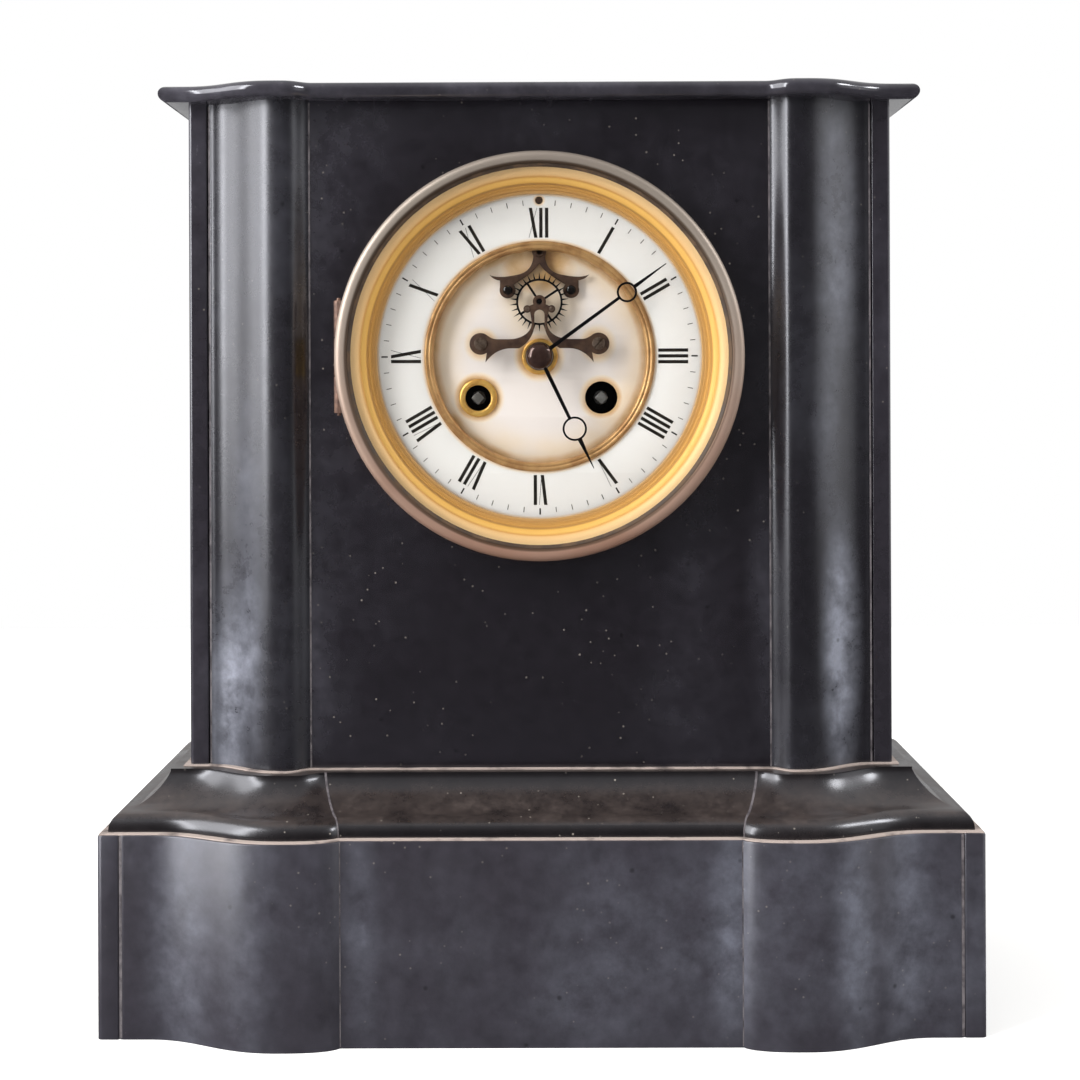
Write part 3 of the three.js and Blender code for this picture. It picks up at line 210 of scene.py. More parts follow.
# %% [markdown]
# Outlines are lists of points, so a few helpers draw them: a Bezier stretch, an arc, a circle, and half an
# outline with its mirror image. A profile is easier to read when it is drawn from its own corner, so one
# helper moves it to its place.

# %% Lines to draw outlines with
def curve(start, handle_a, handle_b, end, points=12):
    """Points along one Bezier stretch, both ends included."""
    knots = [Vector((*p, 0)) for p in (start, handle_a, handle_b, end)]
    return [(p.x, p.y) for p in interpolate_bezier(*knots, points)]


def arc(x, z, radius, start, end, points=16):
    """Points along an arc between two angles in radians, both ends included."""
    turns = [start + (end - start) * i / points for i in range(points + 1)]
    return [(x + radius * math.cos(t), z + radius * math.sin(t)) for t in turns]


def circle(x, z, radius, points=48):
    """A closed circle."""
    return arc(x, z, radius, 0, 2 * math.pi, points)[:-1]


def mirrored(half):
    """A closed outline from its right half; a point on the middle line is used once."""
    left = [(-x, z) for x, z in reversed(half) if abs(x) > 1e-6]
    return half + left


def moved(points, x, y):
    """Points shifted by a step."""
    return [(px + x, py + y) for px, py in points]


print("a circle has", len(circle(0, 0, 1)), "points")

# %% [markdown]
# ## Camera
# The clock was photographed almost square on, from about 0.7 m before the dial, with the lens
# a little below the dial's centre. Fitting the edges of the slabs gave the distance and the focal length.
# The picture's middle lies below the lens axis, so a vertical shift frames it without tilting the lens,
# which keeps the uprights of the case upright.

# %% Camera from the fitted view
FILM_WIDTH = 36.0
PICTURE_SIZE = 1080.0
FOCAL_PIXELS = 1813.6
HORIZON_PIXEL = 383.7
CAMERA_PLACE = (0.003, -0.7592, 0.2502)
CAMERA_TURN, CAMERA_ROLL = 0.229, -0.217  # degrees

lens = bpy.data.cameras.new("camera")
lens.sensor_width = FILM_WIDTH
lens.lens = FILM_WIDTH * FOCAL_PIXELS / PICTURE_SIZE
lens.shift_y = (HORIZON_PIXEL - PICTURE_SIZE / 2) / PICTURE_SIZE
camera = bpy.data.objects.new("camera", lens)
level = Euler((math.radians(90), 0, math.radians(CAMERA_TURN))).to_matrix()
roll = Matrix.Rotation(math.radians(CAMERA_ROLL), 3, "Z")
camera.matrix_world = Matrix.Translation(CAMERA_PLACE) @ (level @ roll).to_4x4()
bpy.context.scene.collection.objects.link(camera)
bpy.context.scene.camera = camera
bpy.context.scene.view_settings.view_transform = "Standard"
print("lens", round(lens.lens, 2), "mm, shift", round(lens.shift_y, 4))

# %% [markdown]
# ## Colours and nodes
# A colour is written as the hex value that a picture shows, and one function turns it to the linear
# numbers that a shader works with. Another adds a node, sets it and links it, so that a material reads
# as a list of what it is made of.

# %% Colour and node helpers
def colour(code):
    """A hex colour as linear red, green, blue and alpha."""
    channels = [int(code[i:i + 2], 16) / 255 for i in (1, 3, 5)]
    return [c / 12.92 if c <= 0.04045 else ((c + 0.055) / 1.055) ** 2.4 for c in channels] + [1.0]


def add(tree, kind, sockets=None, stops=(), **settings):
    """Adds a node; a socket takes a value, or a link from an output or from a node's first output.

    Stops are a colour ramp's pairs of place and hex colour."""
    node = tree.nodes.new("ShaderNode" + kind)
    for name, value in settings.items():
        setattr(node, name, value)
    for name, value in (sockets or {}).items():
        if isinstance(value, bpy.types.Node):
            value = value.outputs[0]
        if isinstance(value, bpy.types.NodeSocket):
            tree.links.new(value, node.inputs[name])
        else:
            node.inputs[name].default_value = value
    for extra in stops[2:]:
        node.color_ramp.elements.new(extra[0])
    for number, (place, code) in enumerate(stops):
        node.color_ramp.elements[number].position = place
        node.color_ramp.elements[number].color = colour(code)
    return node


def new_finish(name, sockets):
    """A new material with its plain values set on the shader; gives material, nodes and shader."""
    made = bpy.data.materials.new(name)
    made.use_nodes = True
    shader = made.node_tree.nodes["Principled BSDF"]
    for socket, value in sockets.items():
        shader.inputs[socket].default_value = value
    return made, made.node_tree, shader


MIX_A, MIX_B, MIX_OUT = 6, 7, 2  # a Mix node's colour sockets


def per_metre(size):
    """The texture scale for a pattern whose repeat is a size in millimetres."""
    return 1 / (size * MM)


print("mid grey is", round(colour("#808080")[0], 3), "in linear light")

# %% [markdown]
# ## Studio
# A pale floor and a white surround, with soft lights at both sides. Polished slate shows its surroundings
# more than its own colour. So the surround is darker behind the camera than at the sides, which keeps the
# flat front black. The left light is tall enough to run down a whole column as one streak, and a strip at
# its near edge gives the streak a second, brighter band. The light on the right is weak, with a brighter
# middle so that its streak has soft edges, and a small lamp above it adds the glints. The camera sees plain
# white behind the clock, while the polished stone sees a darker floor, as a table top would be.

# %% Floor
FLOOR_FRONT, FLOOR_BACK, FLOOR_HALF = -0.45, 1.1, 2.5
floor_sheet = bmesh.new()
bmesh.ops.create_grid(floor_sheet, x_segments=1, y_segments=1, size=1.0)
bmesh.ops.scale(floor_sheet, vec=(FLOOR_HALF, (FLOOR_BACK - FLOOR_FRONT) / 2, 1), verts=floor_sheet.verts[:])
bmesh.ops.translate(floor_sheet, vec=(0, (FLOOR_BACK + FLOOR_FRONT) / 2, 0), verts=floor_sheet.verts[:])
floor_mesh = bpy.data.meshes.new("floor")
floor_sheet.to_mesh(floor_mesh)
floor_sheet.free()
floor = bpy.data.objects.new("floor", floor_mesh)
bpy.context.scene.collection.objects.link(floor)
# Paper is matt and white to the eye, and darker where the polished stone mirrors it.
paper, paper_tree, paper_shader = new_finish("white_paper_sweep", {
    "Roughness": 0.9, "Specular IOR Level": 0.1, "Emission Color": (1, 1, 1, 1)})
ray = add(paper_tree, "LightPath")
lift = add(paper_tree, "Math", {0: ray.outputs["Is Camera Ray"], 1: 0.3}, operation="MULTIPLY")
mirrored_paper = add(paper_tree, "Mix", {0: ray.outputs["Is Glossy Ray"], MIX_A: colour("#f3f2f0"),
                                         MIX_B: colour("#56555a")}, data_type="RGBA")
paper_tree.links.new(mirrored_paper.outputs[MIX_OUT], paper_shader.inputs["Base Color"])
paper_tree.links.new(lift.outputs[0], paper_shader.inputs["Emission Strength"])
floor_mesh.materials.append(paper)
print("floor", 2 * FLOOR_HALF, "m wide")

# %% Surround
FILL = 0.62  # what the surround gives to matt surfaces, where 1 is white
world = bpy.data.worlds.new("studio")
world.use_nodes = True
bpy.context.scene.world = world
sky = world.node_tree
away = add(sky, "SeparateXYZ", {0: add(sky, "TexCoord").outputs["Generated"]})
above = add(sky, "Math", {0: away.outputs["Z"], 1: 0.0}, operation="MAXIMUM")
behind = add(sky, "Math", {0: above, 1: 0.4, 2: away.outputs["Y"]}, operation="MULTIPLY_ADD")
shade = add(sky, "MapRange", {"Value": behind, "From Min": -0.95, "From Max": 0.3,
                              "To Min": 0.08, "To Max": 0.75}, interpolation_type="SMOOTHSTEP")
sight = add(sky, "LightPath")
around = add(sky, "Mix", {0: sight.outputs["Is Diffuse Ray"], 2: shade, 3: FILL},
             data_type="FLOAT")
level_seen = add(sky, "Mix", {0: sight.outputs["Is Camera Ray"], 2: around, 3: 1.0},
                 data_type="FLOAT")
sky.links.new(level_seen.outputs[0], sky.nodes["Background"].inputs["Strength"])
sky.nodes["Background"].inputs["Color"].default_value = (1, 1, 1, 1)
print("surround", world.name)


# %% Lamps
def softbox(name, place, aim, width, height, watts):
    """An area lamp at a place, turned to look at a point."""
    lamp = bpy.data.lights.new(name, "AREA")
    lamp.shape = "RECTANGLE"
    lamp.size = width
    lamp.size_y = height
    lamp.energy = watts
    made = bpy.data.objects.new(name, lamp)
    made.location = place
    made.rotation_euler = (Vector(aim) - Vector(place)).to_track_quat("-Z", "Y").to_euler()
    bpy.context.scene.collection.objects.link(made)


CLOCK_MIDDLE = (0, 0, 0.2)
LAMPS = [("left_softbox", (-1.36, -0.634, 0.84), 1.2, 1.5, 32),
         ("left_strip", (-1.18, -0.935, 0.84), 0.3, 1.5, 13),
         ("right_softbox", (1.4, -0.1, 0.55), 1.7, 1.2, 3.0),
         ("right_panel", (1.38, -0.1, 0.55), 0.8, 1.2, 0.8),
         ("right_lamp", (1.13, -0.37, 1.0), 0.35, 0.35, 7)]
for name, place, width, height, watts in LAMPS:
    softbox(name, place, CLOCK_MIDDLE, width, height, watts)
print("studio with", len(LAMPS), "lamps")

# %% [markdown]
# ## Slate
# The case is black slate, sawn, ground and rubbed with wax and fine abrasive until it shines. With age
# the wax dries and a grey-blue bloom lies over it in clouds, thicker where hands don't reach. Fine wiping
# scratches and pale specks break the polish. A few small functions mix those for every slab, because all are
# the same stone with a different amount of wear. They work from the broad to the fine: clouds of bloom and
# patches of it at chosen places, which also paint in some soft highlights, the stone's own grain and pits,
# then specks and dust, and last the gloss.

# %% Bloom and the stone under it
DRIP = 0.18  # a patch of bloom reaches about five times as far down as across
CLOUD, MOTTLE, GRAIN, PIT_GAP = 110, 16, 6, 15  # sizes in millimetres


def bloom_on(tree, at, cover, patches):
    """The bloom at a point, and the mottling that breaks it up, as three nodes.

    Patches are extra bloom, and in part painted highlight, as (x, y, z, reach, strength) in millimetres,
    drawn out downwards into streaks."""
    clouds = add(tree, "TexNoise", {"Vector": at, "Scale": per_metre(CLOUD), "Detail": 4.0,
                                    "Roughness": 0.5})
    mottle = add(tree, "TexNoise", {"Vector": at, "Scale": per_metre(MOTTLE), "Detail": 8.0,
                                    "Roughness": 0.68})
    total = add(tree, "MapRange", {"Value": clouds, "From Min": 0.4, "From Max": 0.72, "To Max": cover},
                interpolation_type="SMOOTHSTEP")
    tall = add(tree, "VectorMath", {0: at, 1: (1, 1, DRIP)}, operation="MULTIPLY")
    for x, y, z, reach, strength in patches:
        place = (x * MM, y * MM, z * DRIP * MM)
        away = add(tree, "VectorMath", {0: tall, 1: place}, operation="DISTANCE")
        near = add(tree, "MapRange", {"Value": away.outputs["Value"], "From Min": reach * MM,
                                      "From Max": 0.0, "To Max": strength}, interpolation_type="SMOOTHSTEP")
        total = add(tree, "Math", {0: total, 1: near}, operation="ADD")
    uneven = add(tree, "MapRange", {"Value": mottle, "From Min": 0.32, "From Max": 0.68,
                                    "To Min": 0.3, "To Max": 1.7})
    haze = add(tree, "Math", {0: total, 1: uneven}, operation="MULTIPLY", use_clamp=True)
    return mottle, uneven, haze


def stone_colour(tree, at, haze, deep, bloom):
    """The colour of the stone under its haze, with a fine grain and small dark pits."""
    plain = add(tree, "Mix", {0: haze, MIX_A: colour(deep), MIX_B: colour(bloom)}, data_type="RGBA")
    grain = add(tree, "TexNoise", {"Vector": at, "Scale": per_metre(GRAIN), "Detail": 6.0,
                                   "Roughness": 0.62})
    tone = add(tree, "MapRange", {"Value": grain, "From Min": 0.3, "From Max": 0.7,
                                  "To Min": 0.78, "To Max": 1.22})
    holes = add(tree, "TexVoronoi", {"Vector": at, "Scale": per_metre(PIT_GAP)})
    pit = add(tree, "MapRange", {"Value": holes.outputs["Distance"], "From Min": 0.03, "From Max": 0.08,
                                 "To Min": 0.45, "To Max": 1.0})
    shade = add(tree, "Math", {0: tone, 1: pit}, operation="MULTIPLY")
    return add(tree, "VectorMath", {0: plain.outputs[MIX_OUT], "Scale": shade}, operation="SCALE")


print("bloom in clouds of", CLOUD, "mm")

# %% Specks, dust and gloss
SPECK_GAP, DRIFT = 5, 45  # specks lie this far apart, in drifts
CRUMB, SCRATCH, SKIN = 3.5, 1.6, 3  # finer on the stone itself, and drawn this coarse so that they show


def dusted(tree, at, stone, uneven, speckle, dust):
    """The stone's colour with pale specks and with dust on what faces up, and how thick that dust is."""
    dots = add(tree, "TexVoronoi", {"Vector": at, "Scale": per_metre(SPECK_GAP)})
    dot = add(tree, "MapRange", {"Value": dots.outputs["Distance"], "From Min": 0.05, "From Max": 0.1,
                                 "To Min": 1.0, "To Max": 0.0})
    drifts = add(tree, "TexNoise", {"Vector": at, "Scale": per_metre(DRIFT)})
    sparse = add(tree, "MapRange", {"Value": drifts, "From Min": 0.42, "From Max": 0.62, "To Max": speckle})
    specks = add(tree, "Math", {0: dot, 1: sparse}, operation="MULTIPLY")
    speckled = add(tree, "Mix", {0: specks, MIX_A: stone, MIX_B: colour("#8f887f")}, data_type="RGBA")
    skyward = add(tree, "SeparateXYZ", {0: add(tree, "NewGeometry").outputs["Normal"]})
    settled = add(tree, "MapRange", {"Value": skyward.outputs["Z"], "From Min": 0.55, "From Max": 0.95,
                                     "To Max": dust}, interpolation_type="SMOOTHSTEP")
    crumbs = add(tree, "TexNoise", {"Vector": at, "Scale": per_metre(CRUMB), "Detail": 8.0,
                                    "Roughness": 0.85})
    crumb = add(tree, "MapRange", {"Value": crumbs, "From Min": 0.4, "From Max": 0.7,
                                   "To Min": 0.6, "To Max": 1.4})
    drifted = add(tree, "Math", {0: settled, 1: uneven}, operation="MULTIPLY")
    patchy = add(tree, "Math", {0: drifted, 1: crumb}, operation="MULTIPLY", use_clamp=True)
    covered = add(tree, "Mix", {0: patchy, MIX_A: speckled.outputs[MIX_OUT], MIX_B: colour("#544944")},
                  data_type="RGBA")
    return covered, patchy


def worn_gloss(tree, at, haze, mottle, patchy, gloss, dull):
    """How rough the polish is: dull under bloom and dust, and scored by wiping."""
    lines = add(tree, "Mapping", {"Vector": at, "Rotation": (0, 0.6, 0), "Scale": (1.0, 1.0, 0.03)})
    scratch = add(tree, "TexNoise", {"Vector": lines, "Scale": per_metre(SCRATCH), "Detail": 2.0})
    scored = add(tree, "MapRange", {"Value": scratch, "From Min": 0.62, "From Max": 0.74, "To Max": 0.02})
    matt = add(tree, "MapRange", {"Value": haze, "To Min": gloss, "To Max": dull})
    rubbed = add(tree, "MapRange", {"Value": mottle, "From Min": 0.3, "From Max": 0.7,
                                    "To Min": -0.03, "To Max": 0.04})
    worn = add(tree, "Math", {0: matt, 1: rubbed}, operation="ADD")
    rough = add(tree, "Math", {0: worn, 1: scored}, operation="ADD")
    return add(tree, "Math", {0: patchy, 1: 0.3, 2: rough}, operation="MULTIPLY_ADD")


print("specks", SPECK_GAP, "mm apart")


# %% Polished slate in six states of wear
def slate(name, deep, bloom, cover, gloss, dull, speckle, patches=(), dust=0.0):
    """Waxed slate: a deep colour, a bloom over part of it with patches that also paint highlights, and a
    gloss that the bloom dulls.
    """
    made, tree, shader = new_finish(name, {"IOR": 1.65, "Specular Tint": colour("#f2f3fa")})
    at = add(tree, "TexCoord").outputs["Object"]
    mottle, uneven, haze = bloom_on(tree, at, cover, patches)
    stone = stone_colour(tree, at, haze, deep, bloom)
    covered, patchy = dusted(tree, at, stone, uneven, speckle, dust)
    tree.links.new(covered.outputs[MIX_OUT], shader.inputs["Base Color"])
    rough = worn_gloss(tree, at, haze, mottle, patchy, gloss, dull)
    tree.links.new(rough.outputs[0], shader.inputs["Roughness"])
    skin = add(tree, "TexNoise", {"Vector": at, "Scale": per_metre(SKIN), "Detail": 3.0})
    relief = add(tree, "Bump", {"Strength": 0.05, "Distance": 0.0003, "Height": skin})
    tree.links.new(relief.outputs[0], shader.inputs["Normal"])
    return made


# These patches are bloom and, in part, painted highlight: lighter streaks on the columns and the plinth's
# swells, and a haze near the panel's edges.
PANEL_BLOOM_AND_SHEEN = [(90, -41, 165, 12, 0.6), (-88, -41, 345, 30, 0.2), (-90, -41, 140, 12, 0.5),
               (60, -41, 130, 24, 0.2)]
COLUMN_BLOOM_AND_SHEEN = [(120, -41, 145, 13, 1.0), (-126, -40, 125, 12, 1.0), (-116, -44, 140, 10, 0.4),
                (-118, -44, 200, 14, 0.2), (119, -41, 310, 14, 0.4), (114, -43, 230, 10, 0.15)]
PLINTH_BLOOM_AND_SHEEN = [(-138, -72, 35, 20, 0.55), (-112, -80, 40, 20, 0.3), (118, -78, 45, 12, 0.7),
                (-68, -76, 45, 10, 0.3), (72, -76, 45, 12, 0.5), (140, -72, 60, 15, 0.5)]
# Best kept: black and even, so the panel mirrors the dark room before it; its patches paint a soft haze of
# bloom and highlight near the columns.
front_slate = slate("slate_polished_front", "#19161b", "#36343c", 0.3, 0.22, 0.36, 0.6, PANEL_BLOOM_AND_SHEEN)
# Black and glossy, with a blue-grey haze low down; its patches also paint the soft highlight streaks down
# the columns.
column_slate = slate("slate_polished_columns", "#17151a", "#80838f", 0.05, 0.27, 0.38, 0.3, COLUMN_BLOOM_AND_SHEEN)
# A thinner polish, so the sides look plain dark grey.
wall_slate = slate("slate_polished_sides", "#262329", "#4a4851", 0.3, 0.2, 0.32, 0.4)
# Black, with brown dust on whatever faces up.
moulding_slate = slate("slate_moulding_dusty", "#131012", "#2a2424", 0.4, 0.23, 0.34, 0.9, dust=0.38)
# Grey and nearly matt, with broad soft lights, and patches that paint more highlight on the swells.
plinth_slate = slate("slate_plinth_dull", "#2b282f", "#565863", 0.3, 0.34, 0.46, 0.35, PLINTH_BLOOM_AND_SHEEN)
# The glossiest, which keeps the lamps sharp along the nose.
top_slate = slate("slate_top_worn", "#262429", "#55535c", 0.4, 0.1, 0.24, 0.3)
print("six states of slate")

# %% [markdown]
# The slabs were bedded in a pale putty, which still shows as a broken beige line along the joints. Noise
# between a dirty and a clean colour breaks the line, so it needs no gaps in its shape.

# %% Lime putty in the joints
CRUMBLED = 9  # millimetres from one clean stretch to the next
# Matt and chalky, beige where it is clean.
putty, putty_tree, putty_shader = new_finish("lime_putty_dry", {"Roughness": 0.85})
putty_at = add(putty_tree, "TexCoord").outputs["Object"]
crumbs = add(putty_tree, "TexNoise", {"Vector": putty_at, "Scale": per_metre(CRUMBLED), "Detail": 4.0})
worn_off = add(putty_tree, "MapRange", {"Value": crumbs, "From Min": 0.3, "From Max": 0.48})
putty_mix = add(putty_tree, "Mix", {0: worn_off, MIX_A: colour("#5d5452"),
                                    MIX_B: colour("#b3a49c")}, data_type="RGBA")
putty_tree.links.new(putty_mix.outputs[MIX_OUT], putty_shader.inputs["Base Color"])
print("putty", putty.name)

# %% [markdown]
# ## Metals
# The door is brass that has lost its lacquer and gone grey, olive at the top, cream at the sides and
# coppery below where fingers lift it. The ring inside the glass kept its gilding, pale at the rim and
# deeper towards the dial. The movement is satin brass, and the small steel parts are browned, blued or
# plain. Each is two colours in soft patches from noise, rougher where the second lies. The same function
# serves the few small things that are not metal, with the metal turned off: jewels, a line of painted shade
# and pale strips of painted highlight on the stone's edges.

# %% Metals from noise
def metal(name, base, patch, patch_size, rough_low, rough_high, metallic=1.0):
    """A metal of two colours in soft patches, duller where the second colour lies."""
    made, tree, shader = new_finish(name, {"Metallic": metallic})
    at = add(tree, "TexCoord").outputs["Object"]
    noise = add(tree, "TexNoise", {"Vector": at, "Scale": per_metre(patch_size), "Detail": 5.0,
                                   "Roughness": 0.6})
    mask = add(tree, "MapRange", {"Value": noise, "From Min": 0.38, "From Max": 0.66},
               interpolation_type="SMOOTHSTEP")
    mix = add(tree, "Mix", {0: mask, MIX_A: colour(base), MIX_B: colour(patch)}, data_type="RGBA")
    tree.links.new(mix.outputs[MIX_OUT], shader.inputs["Base Color"])
    rough = add(tree, "MapRange", {"Value": mask, "To Min": rough_low, "To Max": rough_high})
    tree.links.new(rough.outputs[0], shader.inputs["Roughness"])
    return made


# Soft gold with brown tarnish, never bright.
train_brass = metal("brass_satin_tarnished", "#a98a4e", "#7d6236", 14, 0.34, 0.5)
# Dull brown, like old dark wood.
browned_steel = metal("steel_browned", "#5e4638", "#432f27", 5, 0.42, 0.6, metallic=0.5)
# The same steel, rubbed paler by the screwdriver.
screw_steel = metal("steel_browned_worn", "#7d6c60", "#584539", 2, 0.3, 0.45, metallic=0.7)
# Painted shade: a dark brown line in the shaded gap under the door's lip.
lip_shade_brown = metal("glazing_painted_shade", "#3a2b1f", "#57422e", 6, 0.6, 0.8, metallic=0.0)
# Almost black, with a thin cool shine.
blued_steel = metal("steel_blued_black", "#131217", "#1e1b1e", 6, 0.28, 0.4, metallic=0.8)
# Plain grey with a soft shine.
plain_steel = metal("steel_satin", "#8d8c8a", "#6b6864", 6, 0.3, 0.45, metallic=0.6)
# Painted highlight: pale grey strips where rounded edges and joints catch the lamps.
edge_highlight_grey = metal("slate_edge_painted_highlight", "#6a6467", "#3d383c", 6, 0.5, 0.6, metallic=0.0)
# Red-brown and dull, with little metal left to see.
hinge_copper = metal("brass_hinge_tarnished", "#7a5e50", "#54403a", 3, 0.5, 0.65, metallic=0.4)
# Pale and bright, as it came off the lathe.
bell_bronze = metal("bell_metal_turned", "#b3a888", "#8a7f63", 20, 0.25, 0.4)
# Wine-brown, with small sharp lamps in it.
polished_brown = metal("steel_browned_polished", "#47342f", "#382622", 4, 0.06, 0.12, metallic=0.5)
# Black drops, each with one bright point.
dark_jewel = metal("jewel_black_polished", "#0d0a0a", "#160f0e", 2, 0.08, 0.14, metallic=0.0)
print("eleven finishes from noise")

# %% [markdown]
# Two rings change colour from place to place. The door's brass goes from copper below to olive above, with
# painted shade at the lip, and the gilding from dark steps at the dial to a pale rim. A ramp over a measured
# height or radius paints such a change, and noise keeps the door's from looking ruled.

# %% Worn door brass
dial_low, dial_high = span("chapter_ring")
DIAL_Z = (dial_low.z + dial_high.z) / 2


def from_dial_centre(tree):
    """A point and its distance from the dial's axis, in metres, as two sockets."""
    at = add(tree, "TexCoord").outputs["Object"]
    flat = add(tree, "Mapping", {"Vector": at, "Location": (0, 0, -DIAL_Z * MM), "Scale": (1, 0, 1)})
    return at, add(tree, "VectorMath", {0: flat}, operation="LENGTH").outputs["Value"]


DOOR_PATCH, DOOR_WANDER = 24, 60  # millimetres: the patches, and how far they shift the colour up or down
RAMP_LOW, RAMP_HIGH = 20, 40  # millimetres that the colour change is moved up
LIP_SHADE_EDGE, LIP_SHADE_FULL = 76.3, 75.3  # radii in millimetres
bezel_low, bezel_high = span("door_bezel")
# Half a metal, because the grey film hides part of the shine.
door_brass, door_tree, door_shader = new_finish("brass_worn_grey", {"Metallic": 0.6})
door_at, lip_radius = from_dial_centre(door_tree)
door_height = add(door_tree, "SeparateXYZ", {0: door_at})
mottle = add(door_tree, "TexNoise", {"Vector": door_at, "Scale": per_metre(DOOR_PATCH), "Detail": 5.0})
uneven = add(door_tree, "Math", {0: mottle, 1: DOOR_WANDER * MM, 2: door_height.outputs["Z"]},
             operation="MULTIPLY_ADD")
up_door = add(door_tree, "MapRange", {"Value": uneven, "From Min": (bezel_low.z + RAMP_LOW) * MM,
                                      "From Max": (bezel_high.z + RAMP_HIGH) * MM})
door_colour = add(door_tree, "ValToRGB", {0: up_door}, stops=[
    (0.0, "#a67f6b"), (0.3, "#ab8f7f"), (0.6, "#b0a296"), (0.85, "#9c9186"), (1.0, "#8c8178")])
# Painted shade: towards its inner edge the lip turns dark brown, where its inner side lies in shade.
lip_painted_shade = add(door_tree, "MapRange", {"Value": lip_radius, "From Min": LIP_SHADE_EDGE * MM,
                                        "From Max": LIP_SHADE_FULL * MM, "To Max": 0.9},
                interpolation_type="SMOOTHSTEP")
lip_shaded_colour = add(door_tree, "Mix", {0: lip_painted_shade, MIX_A: door_colour, MIX_B: colour("#453222")},
             data_type="RGBA")
door_tree.links.new(lip_shaded_colour.outputs[MIX_OUT], door_shader.inputs["Base Color"])
door_rough = add(door_tree, "MapRange", {"Value": mottle, "From Min": 0.3, "From Max": 0.7,
                                         "To Min": 0.46, "To Max": 0.58})
door_tree.links.new(door_rough.outputs[0], door_shader.inputs["Roughness"])
print("door brass", door_brass.name)

# %% Gilding
GILT_INNER, GILT_PATCH = 63.0, 18
sight_low, sight_high = span("sight_ring")
# Thin old gold, more colour than shine.
gilding, gilt_tree, gilt_shader = new_finish("gilding_spun", {"Metallic": 0.12})
gilt_at, gilt_radius = from_dial_centre(gilt_tree)
across = add(gilt_tree, "MapRange", {"Value": gilt_radius, "From Min": GILT_INNER * MM,
                                     "From Max": sight_high.x * MM})
gilt_colour = add(gilt_tree, "ValToRGB", {0: across}, stops=[
    (0.0, "#c19a68"), (0.18, "#b98a4c"), (0.3, "#c9954a"), (0.36, "#a97a3c"), (0.4, "#e0ab54"),
    (0.5, "#e6b45e"), (0.56, "#cf9a54"), (0.6, "#e0b57c"), (1.0, "#e6c493")])
gilt_tree.links.new(gilt_colour.outputs[0], gilt_shader.inputs["Base Color"])
rubbed = add(gilt_tree, "TexNoise", {"Vector": gilt_at, "Scale": per_metre(GILT_PATCH), "Detail": 4.0})
gilt_rough = add(gilt_tree, "MapRange", {"Value": rubbed, "To Min": 0.48, "To Max": 0.58})
gilt_tree.links.new(gilt_rough.outputs[0], gilt_shader.inputs["Roughness"])
# A warm yellow with a shine, as on the eyelets.
old_gilt = metal("gilding_old", "#f0c067", "#d29c50", 5, 0.28, 0.42, metallic=0.55)
# Worn down to a copper tone, as round the recess.
coppered = metal("gilding_worn_to_copper", "#c59a66", "#a5794c", 9, 0.4, 0.5, metallic=0.5)
print("gilding in", len((gilding, old_gilt, coppered)), "states")

# %% [markdown]
# ## Enamel, paint and glass
# The dial is copper sheet covered with white enamel: glassy, very slightly warm, and stained amber where
# old oil and polish crept in under the gilt ring, at the holes and round the feet of the cock. The stains
# are drawn from distances: how far a point lies from the dial's centre and from each hole.

# %% Stained white enamel
CREEP = 13  # millimetres over which a stain's edge wanders
REGULATOR_Z = 61.7
WINDING_X, WINDING_Z = 24.5, -16.4
FOOT_X, FOOT_Z = 23.3, 5.0


# A glassy white with small clear highlights, and amber clouds that no longer wipe off.
def enamel(name, clean, rings, spots):
    """White enamel with stains.

    Rings are (radius, reach, strength) and spots are (x, z, radius, reach, strength), in millimetres."""
    made, tree, shader = new_finish(name, {"Roughness": 0.2, "IOR": 1.5})
    at, radius = from_dial_centre(tree)
    creep = add(tree, "TexNoise", {"Vector": at, "Scale": per_metre(CREEP), "Detail": 4.0})
    wander = add(tree, "MapRange", {"Value": creep, "From Min": 0.3, "From Max": 0.7,
                                    "To Min": 0.55, "To Max": 1.2})
    flat = add(tree, "VectorMath", {0: at, 1: (1, 0, 1)}, operation="MULTIPLY")
    stains = [(radius, ring) for ring in rings]
    for x, z, *halo in spots:
        place = (x * MM, 0, (DIAL_Z + z) * MM)
        away = add(tree, "VectorMath", {0: flat, 1: place}, operation="DISTANCE")
        stains.append((away.outputs["Value"], halo))
    total = 0.0
    for distance, (edge, reach, strength) in stains:
        fade = add(tree, "MapRange", {"Value": distance, "From Min": (edge + reach) * MM,
                                      "From Max": edge * MM, "To Max": strength},
                   interpolation_type="SMOOTHSTEP")
        total = add(tree, "Math", {0: total, 1: fade}, operation="MAXIMUM")
    stain = add(tree, "Math", {0: total, 1: wander}, operation="MULTIPLY", use_clamp=True)
    tint = add(tree, "ValToRGB", {0: stain}, stops=[
        (0.0, clean), (0.25, "#ead6bf"), (0.55, "#dcba95"), (0.8, "#c8a06f"), (1.0, "#a97c50")])
    tree.links.new(tint.outputs[0], shader.inputs["Base Color"])
    return made


